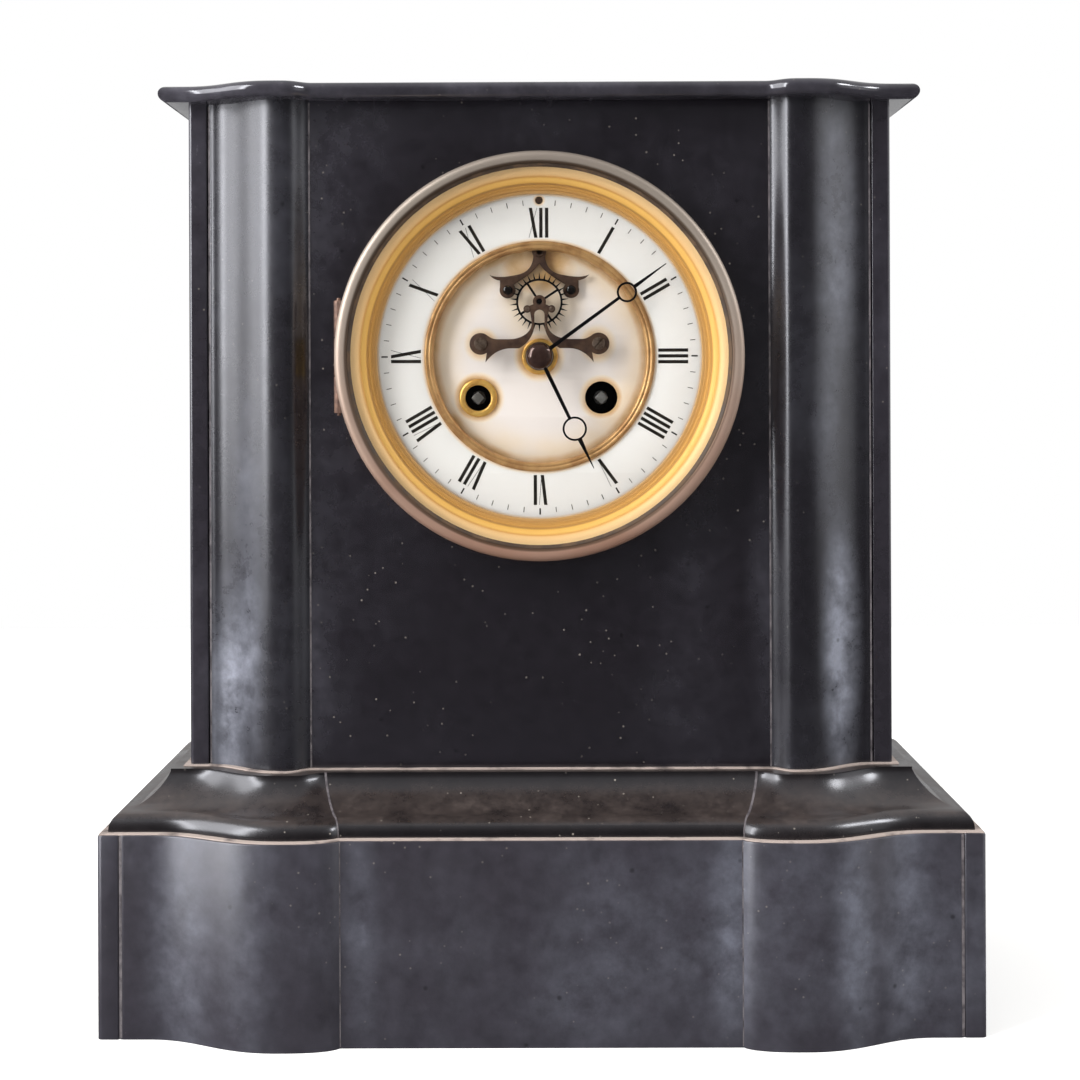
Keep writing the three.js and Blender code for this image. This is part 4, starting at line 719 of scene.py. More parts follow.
CHAPTER_STAINS = [(45.4, 1.6, 0.5), (64.4, -1.4, 0.5)]
CHAPTER_SPOTS = [(0, REGULATOR_Z, 1.3, 1.5, 0.7)]
chapter_enamel = enamel("enamel_white_chapter", "#e5e2e0", CHAPTER_STAINS, CHAPTER_SPOTS)
DISC_STAINS = [(42.5, -5.5, 0.75), (42.5, -16.0, 0.3)]
DISC_SPOTS = [(-WINDING_X, WINDING_Z, 7.4, 3.6, 0.85), (WINDING_X, WINDING_Z, 6.3, 3.4, 0.75),
              (-FOOT_X, FOOT_Z, 4.0, 3.8, 0.6), (FOOT_X, FOOT_Z, 4.0, 4.8, 0.55),
              (0, 0, 7.0, 4.0, 0.7), (0, 40, 8, 13, 0.85), (0, 22, 8, 14, 0.3)]
disc_enamel = enamel("enamel_white_recess", "#e8deda", DISC_STAINS, DISC_SPOTS)
print("enamel with", len(DISC_SPOTS), "spots of staining")

# %% [markdown]
# The figures are black enamel paint, fired on and a little thin in places, so it is brown-black in patches.
# The minute track is finer, and the white shows through it, which makes it grey.

# %% Dial paint
numeral_black = metal("enamel_paint_black", "#17130f", "#2a241d", 3, 0.3, 0.45, metallic=0.0)
track_grey = metal("enamel_paint_grey", "#4d4843", "#6d6863", 3, 0.35, 0.5, metallic=0.0)
print("paints", numeral_black.name, track_grey.name)

# %% [markdown]
# The glass is a flat pane. A pane that bends light would also cast a dark shadow on the dial, so this one
# lets light straight through and only adds a faint mirror at its outer surface, stronger at a slant. Light
# that leaves the pane from inside meets no mirror, or slanting light could never reach the dial.

# %% Clear window glass
# Clear, with a faint mirror that shows mostly at a slant.
pane, pane_tree, pane_shader = new_finish("glass_window", {})
pane_tree.nodes.remove(pane_shader)
clear = add(pane_tree, "BsdfTransparent", {"Color": (0.98, 0.985, 0.98, 1)})
mirror = add(pane_tree, "BsdfGlossy", {"Roughness": 0.03})
slant = add(pane_tree, "Fresnel", {"IOR": 1.3})
inside = add(pane_tree, "NewGeometry").outputs["Backfacing"]
outer = add(pane_tree, "Math", {0: 1.0, 1: inside}, operation="SUBTRACT")
sheen = add(pane_tree, "Math", {0: slant, 1: outer}, operation="MULTIPLY")
glazed = add(pane_tree, "MixShader", {0: sheen, 1: clear, 2: mirror})
pane_tree.links.new(glazed.outputs[0], pane_tree.nodes["Material Output"].inputs["Surface"])
print("pane", pane.name)

# %% [markdown]
# ## The case
# Seen from above, the plinth and the body share one serpentine front: a square corner, a long swell, and
# a short sharp return to the flat middle. The plan is drawn once as a function of its main points, and
# can be grown outwards for the slabs that overhang.

# %% Serpentine plans
CREST_HANDLE = 0.44  # how long the swell stays level at its crest, as a share of its width


def plan_points(plan, detail=18):
    """The right half of a plan, from the back to the middle line of the front."""
    rise = plan["rise_x"] - plan["crest_x"]
    fall = plan["crest_end_x"] - plan["flat_x"]
    swell = curve((plan["rise_x"], plan["corner_y"]),
                  (plan["rise_x"] - plan["ease"] * rise, plan["corner_y"]),
                  (plan["crest_x"] + CREST_HANDLE * rise, plan["crest_y"]),
                  (plan["crest_x"], plan["crest_y"]), detail)
    drop = plan["flat_y"] - plan["crest_y"]
    back = curve((plan["crest_end_x"], plan["crest_y"]),
                 (plan["crest_end_x"] - plan["bend"] * fall, plan["crest_y"]),
                 (plan["flat_x"] + plan["foot_x"] * fall, plan["crest_y"] + plan["foot_y"] * drop),
                 (plan["flat_x"], plan["flat_y"]), detail // 2)
    return swell + back


def whole_plan(plan):
    """The closed outline of a plan."""
    right = [(plan["half"], plan["back_y"]), (plan["half"], plan["corner_y"])] + plan_points(plan)
    return right + [(-x, y) for x, y in reversed(right)]


def grown(plan, by):
    """The plan pushed out by a distance everywhere but at the back."""
    change = {"half": by, "corner_y": -by, "rise_x": by, "crest_x": by / 2, "crest_y": -by,
              "flat_x": -by / 4, "flat_y": -by}
    return {key: value + change.get(key, 0) for key, value in plan.items()}


plinth_low, plinth_high = span("base_plinth")
body_low, body_high = span("right_side_slab")
panel_low, panel_high = span("front_panel")
pilaster_low, pilaster_high = span("right_pilaster")
PLINTH_CREST = 15.0
PLINTH_FLAT = 9.8
plinth_plan = {"half": plinth_high.x, "back_y": plinth_high.y, "corner_y": plinth_low.y + PLINTH_CREST,
               "rise_x": plinth_high.x - 20, "crest_x": plinth_high.x - 70,
               "crest_end_x": plinth_high.x - 74, "crest_y": plinth_low.y,
               "flat_x": plinth_high.x - 93.9, "flat_y": plinth_low.y + PLINTH_CREST - PLINTH_FLAT,
               "ease": 0.38, "bend": 0.5, "foot_x": 0.12, "foot_y": 0.35}
body_plan = {"half": body_high.x, "back_y": body_high.y, "corner_y": body_low.y,
             "rise_x": pilaster_high.x - 0.7, "crest_x": pilaster_low.x + 10.5, "ease": 0.42,
             "crest_end_x": pilaster_low.x + 9.6, "crest_y": pilaster_low.y,
             "flat_x": pilaster_low.x, "flat_y": panel_low.y, "bend": 0.55, "foot_x": 0.4, "foot_y": 0.85}
print("plinth plan has", len(whole_plan(plinth_plan)), "points")

# %% [markdown]
# The plinth is a hollow box of slabs. Its hollow shows only from below, so it is a second outline: the
# ring between the two is filled and pushed upwards. Wear has rounded the top edge, so the outline steps in a
# little over the last lifts, and a shallow groove marks where the front slab meets each side. A bevel would
# round the groove away, which is why both are drawn into the outline.

# %% Plinth
WALL = 22.0


def hollow_slab(levels, inner):
    """A slab with a hole through it; its outer outline is given at each level, with its height."""
    bm = bmesh.new()
    (before, low), *rest = levels
    rims = []
    for outline in (before, inner):
        points = [bm.verts.new((x, y, low)) for x, y in outline]
        rims += [bm.edges.new(pair) for pair in zip(points, points[1:] + points[:1])]
    filled = bmesh.ops.triangle_fill(bm, use_beauty=True, edges=rims)["geom"]
    for step, (outline, z) in enumerate(rest):
        faces = [f for f in filled if isinstance(f, bmesh.types.BMFace)]
        filled = bmesh.ops.extrude_face_region(bm, geom=faces, use_keep_orig=True)["geom"]
        if step:
            bmesh.ops.delete(bm, geom=faces, context="FACES")
        moves = {(round(x, 2), round(y, 2)): place for (x, y), place in zip(before, outline)}
        for vert in [v for v in filled if isinstance(v, bmesh.types.BMVert)]:
            x, y = moves.get((round(vert.co.x, 2), round(vert.co.y, 2)), vert.co.xy)
            vert.co = (x, y, z)
        before = outline
    return bm


JOINT_X = 161.5
SOFT_CORNER = 2.0
GROOVE = [(0.9, 0), (0.6, 0.08), (0.3, 0.35), (0.12, 0.68), (0.03, 0.85), (-0.03, 0.85), (-0.15, 0.75),
          (-0.4, 0.5), (-0.8, 0.25), (-1.3, 0.08), (-2, 0)]


def plinth_outline(by):
    """The plinth's plan, grown by a distance, with soft corners and a groove at each side joint."""
    plan = grown(plinth_plan, by)
    corner = arc(plan["half"] - SOFT_CORNER, plan["corner_y"] + SOFT_CORNER, SOFT_CORNER, 0, -math.pi / 2, 6)
    groove = [(JOINT_X + x, plan["corner_y"] + y) for x, y in GROOVE]
    right = [(plan["half"], plan["back_y"])] + corner + groove + plan_points(plan)
    return right + [(-x, y) for x, y in reversed(right)]


inner_half = plinth_high.x - WALL
inner_front = plinth_plan["corner_y"] + WALL
inner_back = plinth_high.y - WALL
hollow = [(inner_half, inner_back), (inner_half, inner_front),
          (-inner_half, inner_front), (-inner_half, inner_back)]
WORN_IN = 0.7
WORN_TOP = [(0, WORN_IN), (-0.2, 0.2), (-WORN_IN, 0)]  # steps of the outline, and how far under the top
plinth_levels = [(plinth_outline(0), plinth_low.z)]
plinth_levels += [(plinth_outline(by), plinth_high.z - under) for by, under in WORN_TOP]
plinth = hollow_slab(plinth_levels, hollow)
piece("plinth", plinth, plinth_slate, "case", "slate", "base_plinth")

# %% [markdown]
# The moulding changes its plan as it rises, from the plinth's serpentine to the body's. So the same plan
# is drawn at each height, blended from one to the other by the moulding's profile, and neighbouring
# loops are bridged. Sweeping one profile round the plan would not do, because the two plans differ. The
# profile is a short upright, a round and a hollow.

# %% Moulding
def between(start, end, share):
    """The point that lies a share of the way from one point to another."""
    return tuple(a + share * (b - a) for a, b in zip(start, end))


FOOT_SETBACK, TOP_LEDGE = 3.6, 6.5
moulding_low, moulding_high = span("base_moulding")
foot_plan = whole_plan(grown(plinth_plan, -FOOT_SETBACK))
head = grown(body_plan, TOP_LEDGE)
head["crest_end_x"] = body_plan["crest_end_x"] - TOP_LEDGE / 2
head["flat_x"] = body_plan["flat_x"] - TOP_LEDGE
head_plan = whole_plan(head)
for back_corner in (0, -1):
    head_plan[back_corner] = (head_plan[back_corner][0], moulding_high.y)
round_part = curve((0, 0.05), (0, 0.22), (0.11, 0.355), (0.27, 0.365), 14)
hollow_part = curve((0.27, 0.365), (0.54, 0.385), (0.86, 0.63), (1, 0.95), 14)
moulding_profile = [(0, 0)] + round_part + hollow_part[1:] + [(1, 1)]

moulding_rise = moulding_high.z - moulding_low.z
levels = []
for share, height in moulding_profile:
    outline = [between(a, b, share) for a, b in zip(foot_plan, head_plan)]
    levels.append((outline, moulding_low.z + height * moulding_rise))
piece("moulding", stacked(levels), moulding_slate, "case", "slate", "base_moulding")

# %% [markdown]
# The body is built of flat slabs and two solid columns. The front panel and the back are sheets with
# a round hole, so the sheet tool makes them. The columns are cut from the same serpentine plan.

# %% Front panel
PANEL_HOLE, BACK_HOLE, STONE_ARRIS = 73.6, 58.3, 0.25


def drilled(node, hole):
    """A stone sheet the size of a node, with a round hole on the dial's axis."""
    low, high = span(node)
    outline = [(low.x, low.z), (high.x, low.z), (high.x, high.z), (low.x, high.z)]
    return sheet([outline, circle(0, DIAL_Z, hole, 96)], low.y, high.y, arris=STONE_ARRIS)


piece("panel", drilled("front_panel", PANEL_HOLE), front_slate, "case", "slate", "front_panel")

# %% Columns, sides and back
COLUMN_CORNER, WALL_CORNER, WALL_JOINT = 2.0, 1.6, 0.6
front_y = body_plan["corner_y"]
column_plan = [(x, y) for x, y in plan_points(body_plan, 28) if x < pilaster_high.x - COLUMN_CORNER]
column_plan += [(pilaster_low.x, pilaster_high.y), (pilaster_high.x, pilaster_high.y)]
column_plan += arc(pilaster_high.x - COLUMN_CORNER, front_y + COLUMN_CORNER, COLUMN_CORNER,
                   0, -math.pi / 2, 8)
wall_plan = [(body_high.x, body_high.y)]
wall_plan += arc(body_high.x - WALL_CORNER, front_y + WALL_CORNER, WALL_CORNER, 0, -math.pi / 2, 8)
wall_plan += arc(body_low.x + WALL_JOINT, front_y + WALL_JOINT, WALL_JOINT, -math.pi / 2, -math.pi, 6)
wall_plan += [(body_low.x, body_high.y)]
for side, sign in (("left", -1), ("right", 1)):
    column = slab([(sign * x, y) for x, y in column_plan], pilaster_low.z, pilaster_high.z)
    piece(side + "_column", column, column_slate, "case", "slate", side + "_pilaster")
    wall = slab([(sign * x, y) for x, y in wall_plan], body_low.z, body_high.z)
    piece(side + "_wall", wall, wall_slate, "case", "slate", side + "_side_slab")

piece("back", drilled("back_panel", BACK_HOLE), plinth_slate, "case", "slate", "back_panel")

# %% [markdown]
# The top is a thin slab whose edge was rubbed to a half circle, a bull nose, which catches the light as one
# long line. A bevel on so thin a slab would meet itself at the corners of the plan. So the plan is drawn at
# several heights, set in along the half circle, and the loops are bridged like the moulding's.

# %% Top slab with its bull nose
NOSE_STEPS = 12
top_low, top_high = span("top_slab")
overhang = top_high.x - body_high.x
nose = (top_high.z - top_low.z) / 2
levels = []
for step in range(NOSE_STEPS + 1):
    turn = math.pi * (step / NOSE_STEPS - 0.5)
    outline = whole_plan(grown(body_plan, overhang - nose * (1 - math.cos(turn))))
    levels.append((outline, top_low.z + nose * (1 + math.sin(turn))))
piece("top", stacked(levels), top_slate, "case", "slate", "top_slab", crease=40)

# %% [markdown]
# Putty lines: one bed shows all round the top of the plinth, and a finer one round the foot of the body.
# Where slabs meet in an upright joint or a crease, their rounded edges catch the lamps as thin pale lines,
# and these highlights are painted as pale strips. A line in the material would have to follow every curve of
# the stone, so each is a narrow strip, a hair in front of the surface. In the moulding's crease it is a
# ribbon that runs down the profile.

# %% Putty lines
PUTTY_PROUD, BED_SINK, FOOT_BED = 0.45, 0.1, 2.2
bed = slab(whole_plan(grown(plinth_plan, -WORN_IN)), plinth_high.z - BED_SINK, plinth_high.z + PUTTY_PROUD)
foot_bed = slab(whole_plan(grown(body_plan, FOOT_BED)), moulding_high.z - BED_SINK,
                moulding_high.z + PUTTY_PROUD)
piece("putty_lines", joined(bed, foot_bed), putty, "case", "slate")


# %% Painted edge highlights
def ribbon(line, half, proud, sunk=0.3, lift=0.3):
    """A thin band along a line of (x, y, z), a little proud of the surface behind it."""
    bm = bmesh.new()
    rows = []
    for x, y, z in line:
        rows.append([bm.verts.new((x + dx, y + dy, z + lift * proud)) for dx, dy in
                     ((-half, sunk), (-half, -proud), (half, -proud), (half, sunk))])
    loops = [[bm.edges.new(pair) for pair in zip(row, row[1:] + row[:1])] for row in rows]
    for lower, upper in zip(loops, loops[1:]):
        bmesh.ops.bridge_loops(bm, edges=lower + upper)
    bmesh.ops.holes_fill(bm, edges=[e for e in bm.edges if e.is_boundary], sides=0)
    return bm


# Painted highlights: pale strips standing for the light that rounded edges, joints and the crease catch.
CREASE_HALF, JOINT_HALF, FLAT_HALF, HIGHLIGHT_HALF = 0.45, 0.525, 0.4, 0.35
HIGHLIGHT_PROUD, HIGHLIGHT_INSET, STRIP_END = 0.12, 0.9, 0.6
crease_at = len(foot_plan) // 2 - 1
plinth_run = (STRIP_END, plinth_high.z - 0.4)
column_run = (pilaster_low.z + STRIP_END, pilaster_high.z - STRIP_END)
# Each strip has its middle, half width, front, back, and lowest and highest point.
STRIPS = [(JOINT_X - JOINT_HALF, JOINT_HALF, plinth_plan["corner_y"] + 0.12, plinth_plan["corner_y"] + 1,
           *plinth_run),
          (plinth_plan["flat_x"], FLAT_HALF, plinth_plan["flat_y"] - 0.05, plinth_plan["flat_y"] + 0.4,
           *plinth_run),
          (pilaster_high.x - HIGHLIGHT_INSET, HIGHLIGHT_HALF, front_y + HIGHLIGHT_PROUD, front_y + HIGHLIGHT_PROUD + 1,
           *column_run),
          (pilaster_low.x, HIGHLIGHT_HALF, panel_low.y - HIGHLIGHT_PROUD, panel_low.y - HIGHLIGHT_PROUD + 1, *column_run)]
worn = []
for sign in (-1, 1):
    for x, half, front, back, low, high in STRIPS:
        worn.append(brick((sign * x - half, front, low), (sign * x + half, back, high)))
    line = []
    for share, height in moulding_profile:
        x, y = between(foot_plan[crease_at], head_plan[crease_at], share)
        line.append((sign * x, y, moulding_low.z + height * moulding_rise))
    worn.append(ribbon(line, CREASE_HALF, HIGHLIGHT_PROUD))
piece("painted_edge_highlights", joined(*worn), edge_highlight_grey, "case", "slate")

# %% [markdown]
# ## The door
# The door is a spun brass ring, hinged on the left, which holds a flat glass and a stepped gilt ring that
# closes the space between the glass and the dial. Both rings are lathe work, so their profiles are drawn
# in radius and depth and spun. The ring's back has a notch on the left, where the fixed part of the hinge
# stands. The hinge's two leaves and knuckles are small solids that ride with the ring.

# %% Door ring
BEZEL_RADIUS = bezel_high.x
BEZEL_LIP = BEZEL_RADIUS - 5.2
SIGHT_RADIUS = sight_high.x
GLASS_SEAT = SIGHT_RADIUS + 0.3
door_front, door_back = bezel_low.y, bezel_high.y
glass_low, glass_high = span("door_glass")
lip_back = glass_low.y - 0.3
HINGE_X = -(BEZEL_RADIUS - 1.3)
HINGE_Y = (door_front + door_back) / 2 + 0.9
HINGE_HALF = 22.0
KNUCKLE = 1.9
KNUCKLE_GAP = 0.35
SKIRT_OVERLAP = 0.1
middle = HINGE_HALF / 3
notch_y = HINGE_Y - KNUCKLE - KNUCKLE_GAP
notch_turn = 2 * math.asin((middle + KNUCKLE_GAP) / GLASS_SEAT)
lip = [(0, 1.5)] + curve((0, 1.1), (0.2, 0.3), (1.2, 0), (2.4, 0), 7)
shoulder = curve((-2.3, 0), (-0.9, 0.1), (-0.1, 1.2), (0, 3), 9)
bezel_profile = moved(lip, BEZEL_LIP, door_front) + moved(shoulder, BEZEL_RADIUS, door_front)
bezel_profile += [(BEZEL_RADIUS, notch_y), (GLASS_SEAT, notch_y), (GLASS_SEAT, lip_back),
                  (BEZEL_LIP, lip_back)]
bezel = turned(bezel_profile, 0, DIAL_Z, 160)
skirt_front = notch_y - SKIRT_OVERLAP
skirt = turned([(BEZEL_RADIUS, skirt_front), (BEZEL_RADIUS, door_back), (GLASS_SEAT, door_back),
                (GLASS_SEAT, skirt_front)], 0, DIAL_Z, 160, gap=notch_turn)
piece("door_ring", joined(bezel, skirt), door_brass, "front_door", "worn_brass", "door_bezel")

# %% Door hinge
LEAF_END = 3.5 - BEZEL_RADIUS


def knuckle(x, y, low, high):
    """A hinge knuckle: a short upright cylinder."""
    bm = bmesh.new()
    place = Matrix.Translation((x, y, DIAL_Z + (low + high) / 2))
    bmesh.ops.create_cone(bm, cap_ends=True, segments=32, radius1=KNUCKLE, radius2=KNUCKLE,
                          depth=high - low, matrix=place)
    return round_edges(bm, 0.25, 2)


leaves = []
for low, high in ((-HINGE_HALF, -middle - KNUCKLE_GAP), (middle + KNUCKLE_GAP, HINGE_HALF)):
    leaf = brick((HINGE_X, HINGE_Y - KNUCKLE, DIAL_Z + low), (LEAF_END, HINGE_Y + KNUCKLE, DIAL_Z + high))
    leaves += [round_edges(leaf, 0.3, 2), knuckle(HINGE_X, HINGE_Y, low, high)]
piece("door_hinge", joined(*leaves), hinge_copper, "front_door", "worn_brass")

# %% Gilt ring, glass and a line of painted shade
SIGHT_FRONT, SIGHT_BACK = sight_low.y, sight_high.y
SIGHT_BORE = 64.0
first_step = [(0, 0), (-1.6, 0)] + curve((-2.2, 0.2), (-4, 0.6), (-5, 1.2), (-5.6, 2.4), 8)
steps_in = moved(first_step, SIGHT_RADIUS, SIGHT_FRONT)
steps_in += curve((SIGHT_RADIUS - 5.9, SIGHT_FRONT + 2.9), (SIGHT_RADIUS - 7.6, SIGHT_FRONT + 3.3),
                  (SIGHT_BORE + 3.6, SIGHT_FRONT + 4.2), (SIGHT_BORE + 3.2, SIGHT_FRONT + 5.6), 8)
steps_in += moved([(2.8, 5.7), (2.4, 6.7), (1.5, 6.8), (1.2, 7.6), (0.3, 7.7)], SIGHT_BORE, SIGHT_FRONT)
steps_in += moved([(0, -0.4), (0, 0), (3, -0.4)], SIGHT_BORE, SIGHT_BACK)
steps_in += [(SIGHT_RADIUS, SIGHT_FRONT + 1.6)]
piece("gilt_ring", turned(steps_in, 0, DIAL_Z, 160), gilding, "front_door", "gilt", "sight_ring", crease=25)

glass = rod(SIGHT_RADIUS, glass_low.y, glass_high.y, 0, DIAL_Z, 128)
round_edges(glass, 0.2, 2)
piece("glass", glass, pane, "front_door", "glass", "door_glass")

# A thin dark ring of painted shade sits in front of the glass, under the lip.
fillet = moved([(-1.2, -0.02), (0.02, -1.2), (0.02, -0.02)], BEZEL_LIP, glass_low.y)
piece("glazing_line", turned(fillet, 0, DIAL_Z, 128), lip_shade_brown, "front_door", "worn_brass")

# %% [markdown]
# A brass ring is let into the stone round the dial. It carries the hinge's fixed knuckle on a short post,
# and a pin runs through that and the door's two. The ring is spun, then its corners are rounded, because a
# bevel keeps its shape on so plain a profile.

# %% Ring in the panel and hinge pin
def rounded_ring(profile, radius):
    """A closed profile spun about the dial's axis, with its corners rounded."""
    return round_edges(turned(profile, 0, DIAL_Z, 128), radius, sharper_than=28)


SEAT_RADIUS, SEAT_BORE, SEAT_SLEEVE, PIN_RADIUS = 79.0, 71.0, 73.3, 0.8
flange_front, flange_back = panel_low.y - 2.5, panel_low.y - 0.3
seat_profile = [(SEAT_RADIUS, flange_back), (SEAT_SLEEVE, flange_back), (SEAT_SLEEVE, panel_high.y),
                (SEAT_BORE, panel_high.y), (SEAT_BORE, flange_front), (SEAT_RADIUS, flange_front)]
hinge_post = brick((HINGE_X - 1, HINGE_Y, DIAL_Z - middle),
                   (HINGE_X + KNUCKLE, flange_back, DIAL_Z + middle))
panel_ring = joined(rounded_ring(seat_profile, 0.25), hinge_post)
piece("panel_ring", panel_ring, train_brass, "case", "brass", "bezel_seat")
piece("fixed_knuckle", knuckle(HINGE_X, HINGE_Y, -middle, middle), hinge_copper, "case", "brass")

pin_low, pin_high = span("door_hinge_pin")
pin = bmesh.new()
bmesh.ops.create_cone(pin, cap_ends=True, segments=24, radius1=PIN_RADIUS, radius2=PIN_RADIUS,
                      depth=pin_high.z - pin_low.z, matrix=Matrix.Translation((HINGE_X, HINGE_Y, DIAL_Z)))
piece("hinge_pin", round_edges(pin, 0.2, 2), hinge_copper, "case", "brass", "door_hinge_pin")

# %% [markdown]
# ## The dial
# The chapter ring is a flat enamelled ring with the hours on it, and the centre disc lies a few
# millimetres deeper. Enamel rounds off at its edges, because it draws back as it melts, so the edges of
# both get a soft bevel. A thin gilt ring covers the step between them.

# %% Chapter ring and recess
CHAPTER_BORE, REGULATOR_HOLE, WINDING_HOLE = 45.0, 1.5, 6.45
chapter_outlines = [circle(0, 0, dial_high.x, 128), circle(0, 0, CHAPTER_BORE, 128),
                    circle(0, REGULATOR_Z, REGULATOR_HOLE, 24)]
chapter = sheet(chapter_outlines, dial_low.y, dial_high.y, 0, DIAL_Z, arris=0.35)
piece("chapter", chapter, chapter_enamel, "case", "enamel", "chapter_ring")

disc_low, disc_high = span("dial_centre_disc")
ESCAPE_Z, PALLET_Z = 21.6, 41.5
# Each hole has its place and radius.
holes = [(0, 0, 6), (WINDING_X, WINDING_Z, WINDING_HOLE), (-WINDING_X, WINDING_Z, WINDING_HOLE),
         (FOOT_X, FOOT_Z, 2.3), (-FOOT_X, FOOT_Z, 2.3), (0, ESCAPE_Z, 1.9), (0, PALLET_Z, 2.2)]
disc_outlines = [circle(0, 0, disc_high.x, 128)] + [circle(*hole) for hole in holes]
disc = sheet(disc_outlines, disc_low.y, disc_high.y, 0, DIAL_Z, arris=0.3)
piece("recess_disc", disc, disc_enamel, "case", "enamel", "dial_centre_disc")

# %% Ring round the recess, and eyelets
RECESS_LIP, ENAMEL_GAP = CHAPTER_BORE - 3, 0.3
edge = dial_low.y - ENAMEL_GAP
two_beads = [(0.6, 0)] + curve((0.5, -0.4), (0.2, -1), (-0.6, -1), (-1.1, -0.55), 6)
two_beads += curve((-1.2, -0.5), (-1.7, -0.9), (-2.6, -0.7), (-2.8, 0.2), 6)
inner_profile = moved(two_beads, CHAPTER_BORE, edge)
inner_profile += [(RECESS_LIP, dial_high.y), (CHAPTER_BORE - 0.3, dial_high.y), (CHAPTER_BORE - 0.3, edge)]
recess_ring = turned(inner_profile, 0, DIAL_Z, 128)
piece("recess_ring", recess_ring, coppered, "case", "gilt", "dial_inner_ring", crease=50)


def eyelet(outer, bore, sleeve):
    """The profile of a collet: a domed flange on the enamel and a sleeve through it."""
    face = disc_low.y - ENAMEL_GAP
    crown = (outer + bore) / 2
    dome = curve((outer, 0), (outer, -0.7), (outer - 0.6, -1), (crown, -1), 7)
    dome += curve((crown - 0.3, -1), (bore + 0.3, -0.95), (bore, -0.7), (bore, -0.3), 5)
    dome = moved(dome, 0, face)
    return dome + [(bore, disc_high.y), (sleeve, disc_high.y), (sleeve, face)]


centre_eyelet = turned(eyelet(7.2, 4.2, 5.7), 0, DIAL_Z, 64)
piece("centre_eyelet", centre_eyelet, old_gilt, "case", "gilt", "centre_collet")
winding_eyelet = turned(eyelet(7.6, 5.1, 6.15), -WINDING_X, DIAL_Z + WINDING_Z, 64)
piece("winding_eyelet", winding_eyelet, old_gilt, "case", "gilt", "strike_winding_collet")

# %% [markdown]
# The numerals were painted and fired. Every one is made of two strokes, a thick one and a hairline,
# so a numeral is a short text of I, V and X, and each letter a pair of strokes between its top and foot.
# They stand radially, feet to the centre, and the four is written with four strokes, as on most dials. Thin
# raised patches draw them, since a text object would bring a typeface with other strokes.

# %% Numerals
HOURS = ["XII", "I", "II", "III", "IIII", "V", "VI", "VII", "VIII", "IX", "X", "XI"]
NUMERAL_FOOT, NUMERAL_TOP = 46.9, 58.7
THICK, HAIR = 1.3, 0.16
LETTER_WIDTH = {"I": 2.3, "V": 3.7, "X": 3.7}
PAINT = 0.06


def strokes(letter):
    """A letter's strokes as (top x, foot x, width), from the letter's own left edge."""
    width = LETTER_WIDTH[letter]
    left, right = THICK / 2 + 0.1, width - HAIR / 2 - 0.35
    if letter == "I":
        return [(width / 2, width / 2, THICK)]
    if letter == "V":
        return [(left, width / 2 + 0.25, THICK), (right, width / 2 + 0.55, HAIR)]
    return [(left, width - THICK / 2 - 0.2, THICK), (right, HAIR, HAIR)]


def painted(bm, corners, turn):
    """One painted patch on the chapter ring, from (x, z) corners, turned clockwise to its place."""
    face = bm.faces.new([bm.verts.new((x, dial_low.y, z)) for x, z in corners])
    skin = bmesh.ops.extrude_face_region(bm, geom=[face], use_keep_orig=True)
    raised = [v for v in skin["geom"] if isinstance(v, bmesh.types.BMVert)]
    bmesh.ops.translate(bm, vec=(0, -PAINT, 0), verts=raised)
    patch = raised + face.verts[:]
    bmesh.ops.rotate(bm, cent=(0, 0, 0), matrix=Matrix.Rotation(turn, 3, "Y"), verts=patch)


numerals = bmesh.new()
for hour, text in enumerate(HOURS):
    turn = hour * math.pi / 6
    start = -sum(LETTER_WIDTH[letter] for letter in text) / 2
    for letter in text:
        for top_x, foot_x, width in strokes(letter):
            half, foot, top = width / 2, start + foot_x, start + top_x
            painted(numerals, [(foot - half, NUMERAL_FOOT), (foot + half, NUMERAL_FOOT),
                               (top + half, NUMERAL_TOP), (top - half, NUMERAL_TOP)], turn)
        start += LETTER_WIDTH[letter]
bmesh.ops.translate(numerals, vec=(0, 0, DIAL_Z), verts=numerals.verts[:])
piece("numerals", numerals, numeral_black, "case", "enamel")

# %% [markdown]
# Outside the figures runs the minute track: a fine grey tick for each minute and a heavier black mark at
# each five. They are painted like the figures, so the same thin patches draw them. Over the XII the hole of
# the regulator stands in place of a mark.

# %% Minute track
MARK_HALF, MARK_FOOT, MARK_TOP = 0.3, 60.0, 62.5
TICK_HALF, TICK_FOOT, TICK_TOP = 0.16, 59.8, 61.9


def bar(half, foot, top):
    """The corners of an upright bar."""
    return [(-half, foot), (half, foot), (half, top), (-half, top)]


marks, ticks = bmesh.new(), bmesh.new()
for minute in range(1, 60):
    turn = minute * math.pi / 30
    if minute % 5 == 0:
        painted(marks, bar(MARK_HALF, MARK_FOOT, MARK_TOP), turn)
    else:
        painted(ticks, bar(TICK_HALF, TICK_FOOT, TICK_TOP), turn)
for track in (marks, ticks):
    bmesh.ops.translate(track, vec=(0, 0, DIAL_Z), verts=track.verts[:])
piece("five_minute_marks", marks, numeral_black, "case", "enamel")
piece("minute_ticks", ticks, track_grey, "case", "enamel")

# %% [markdown]
# ## The escapement
# The dark steel wheel with thirty fine teeth, the anchor over it, and the cock that carries the wheel's
# front pivot stand before the dial. All three are sawn from sheet. Their outlines repeat the solids' with
# finer curves, so the teeth still clear the pallets.

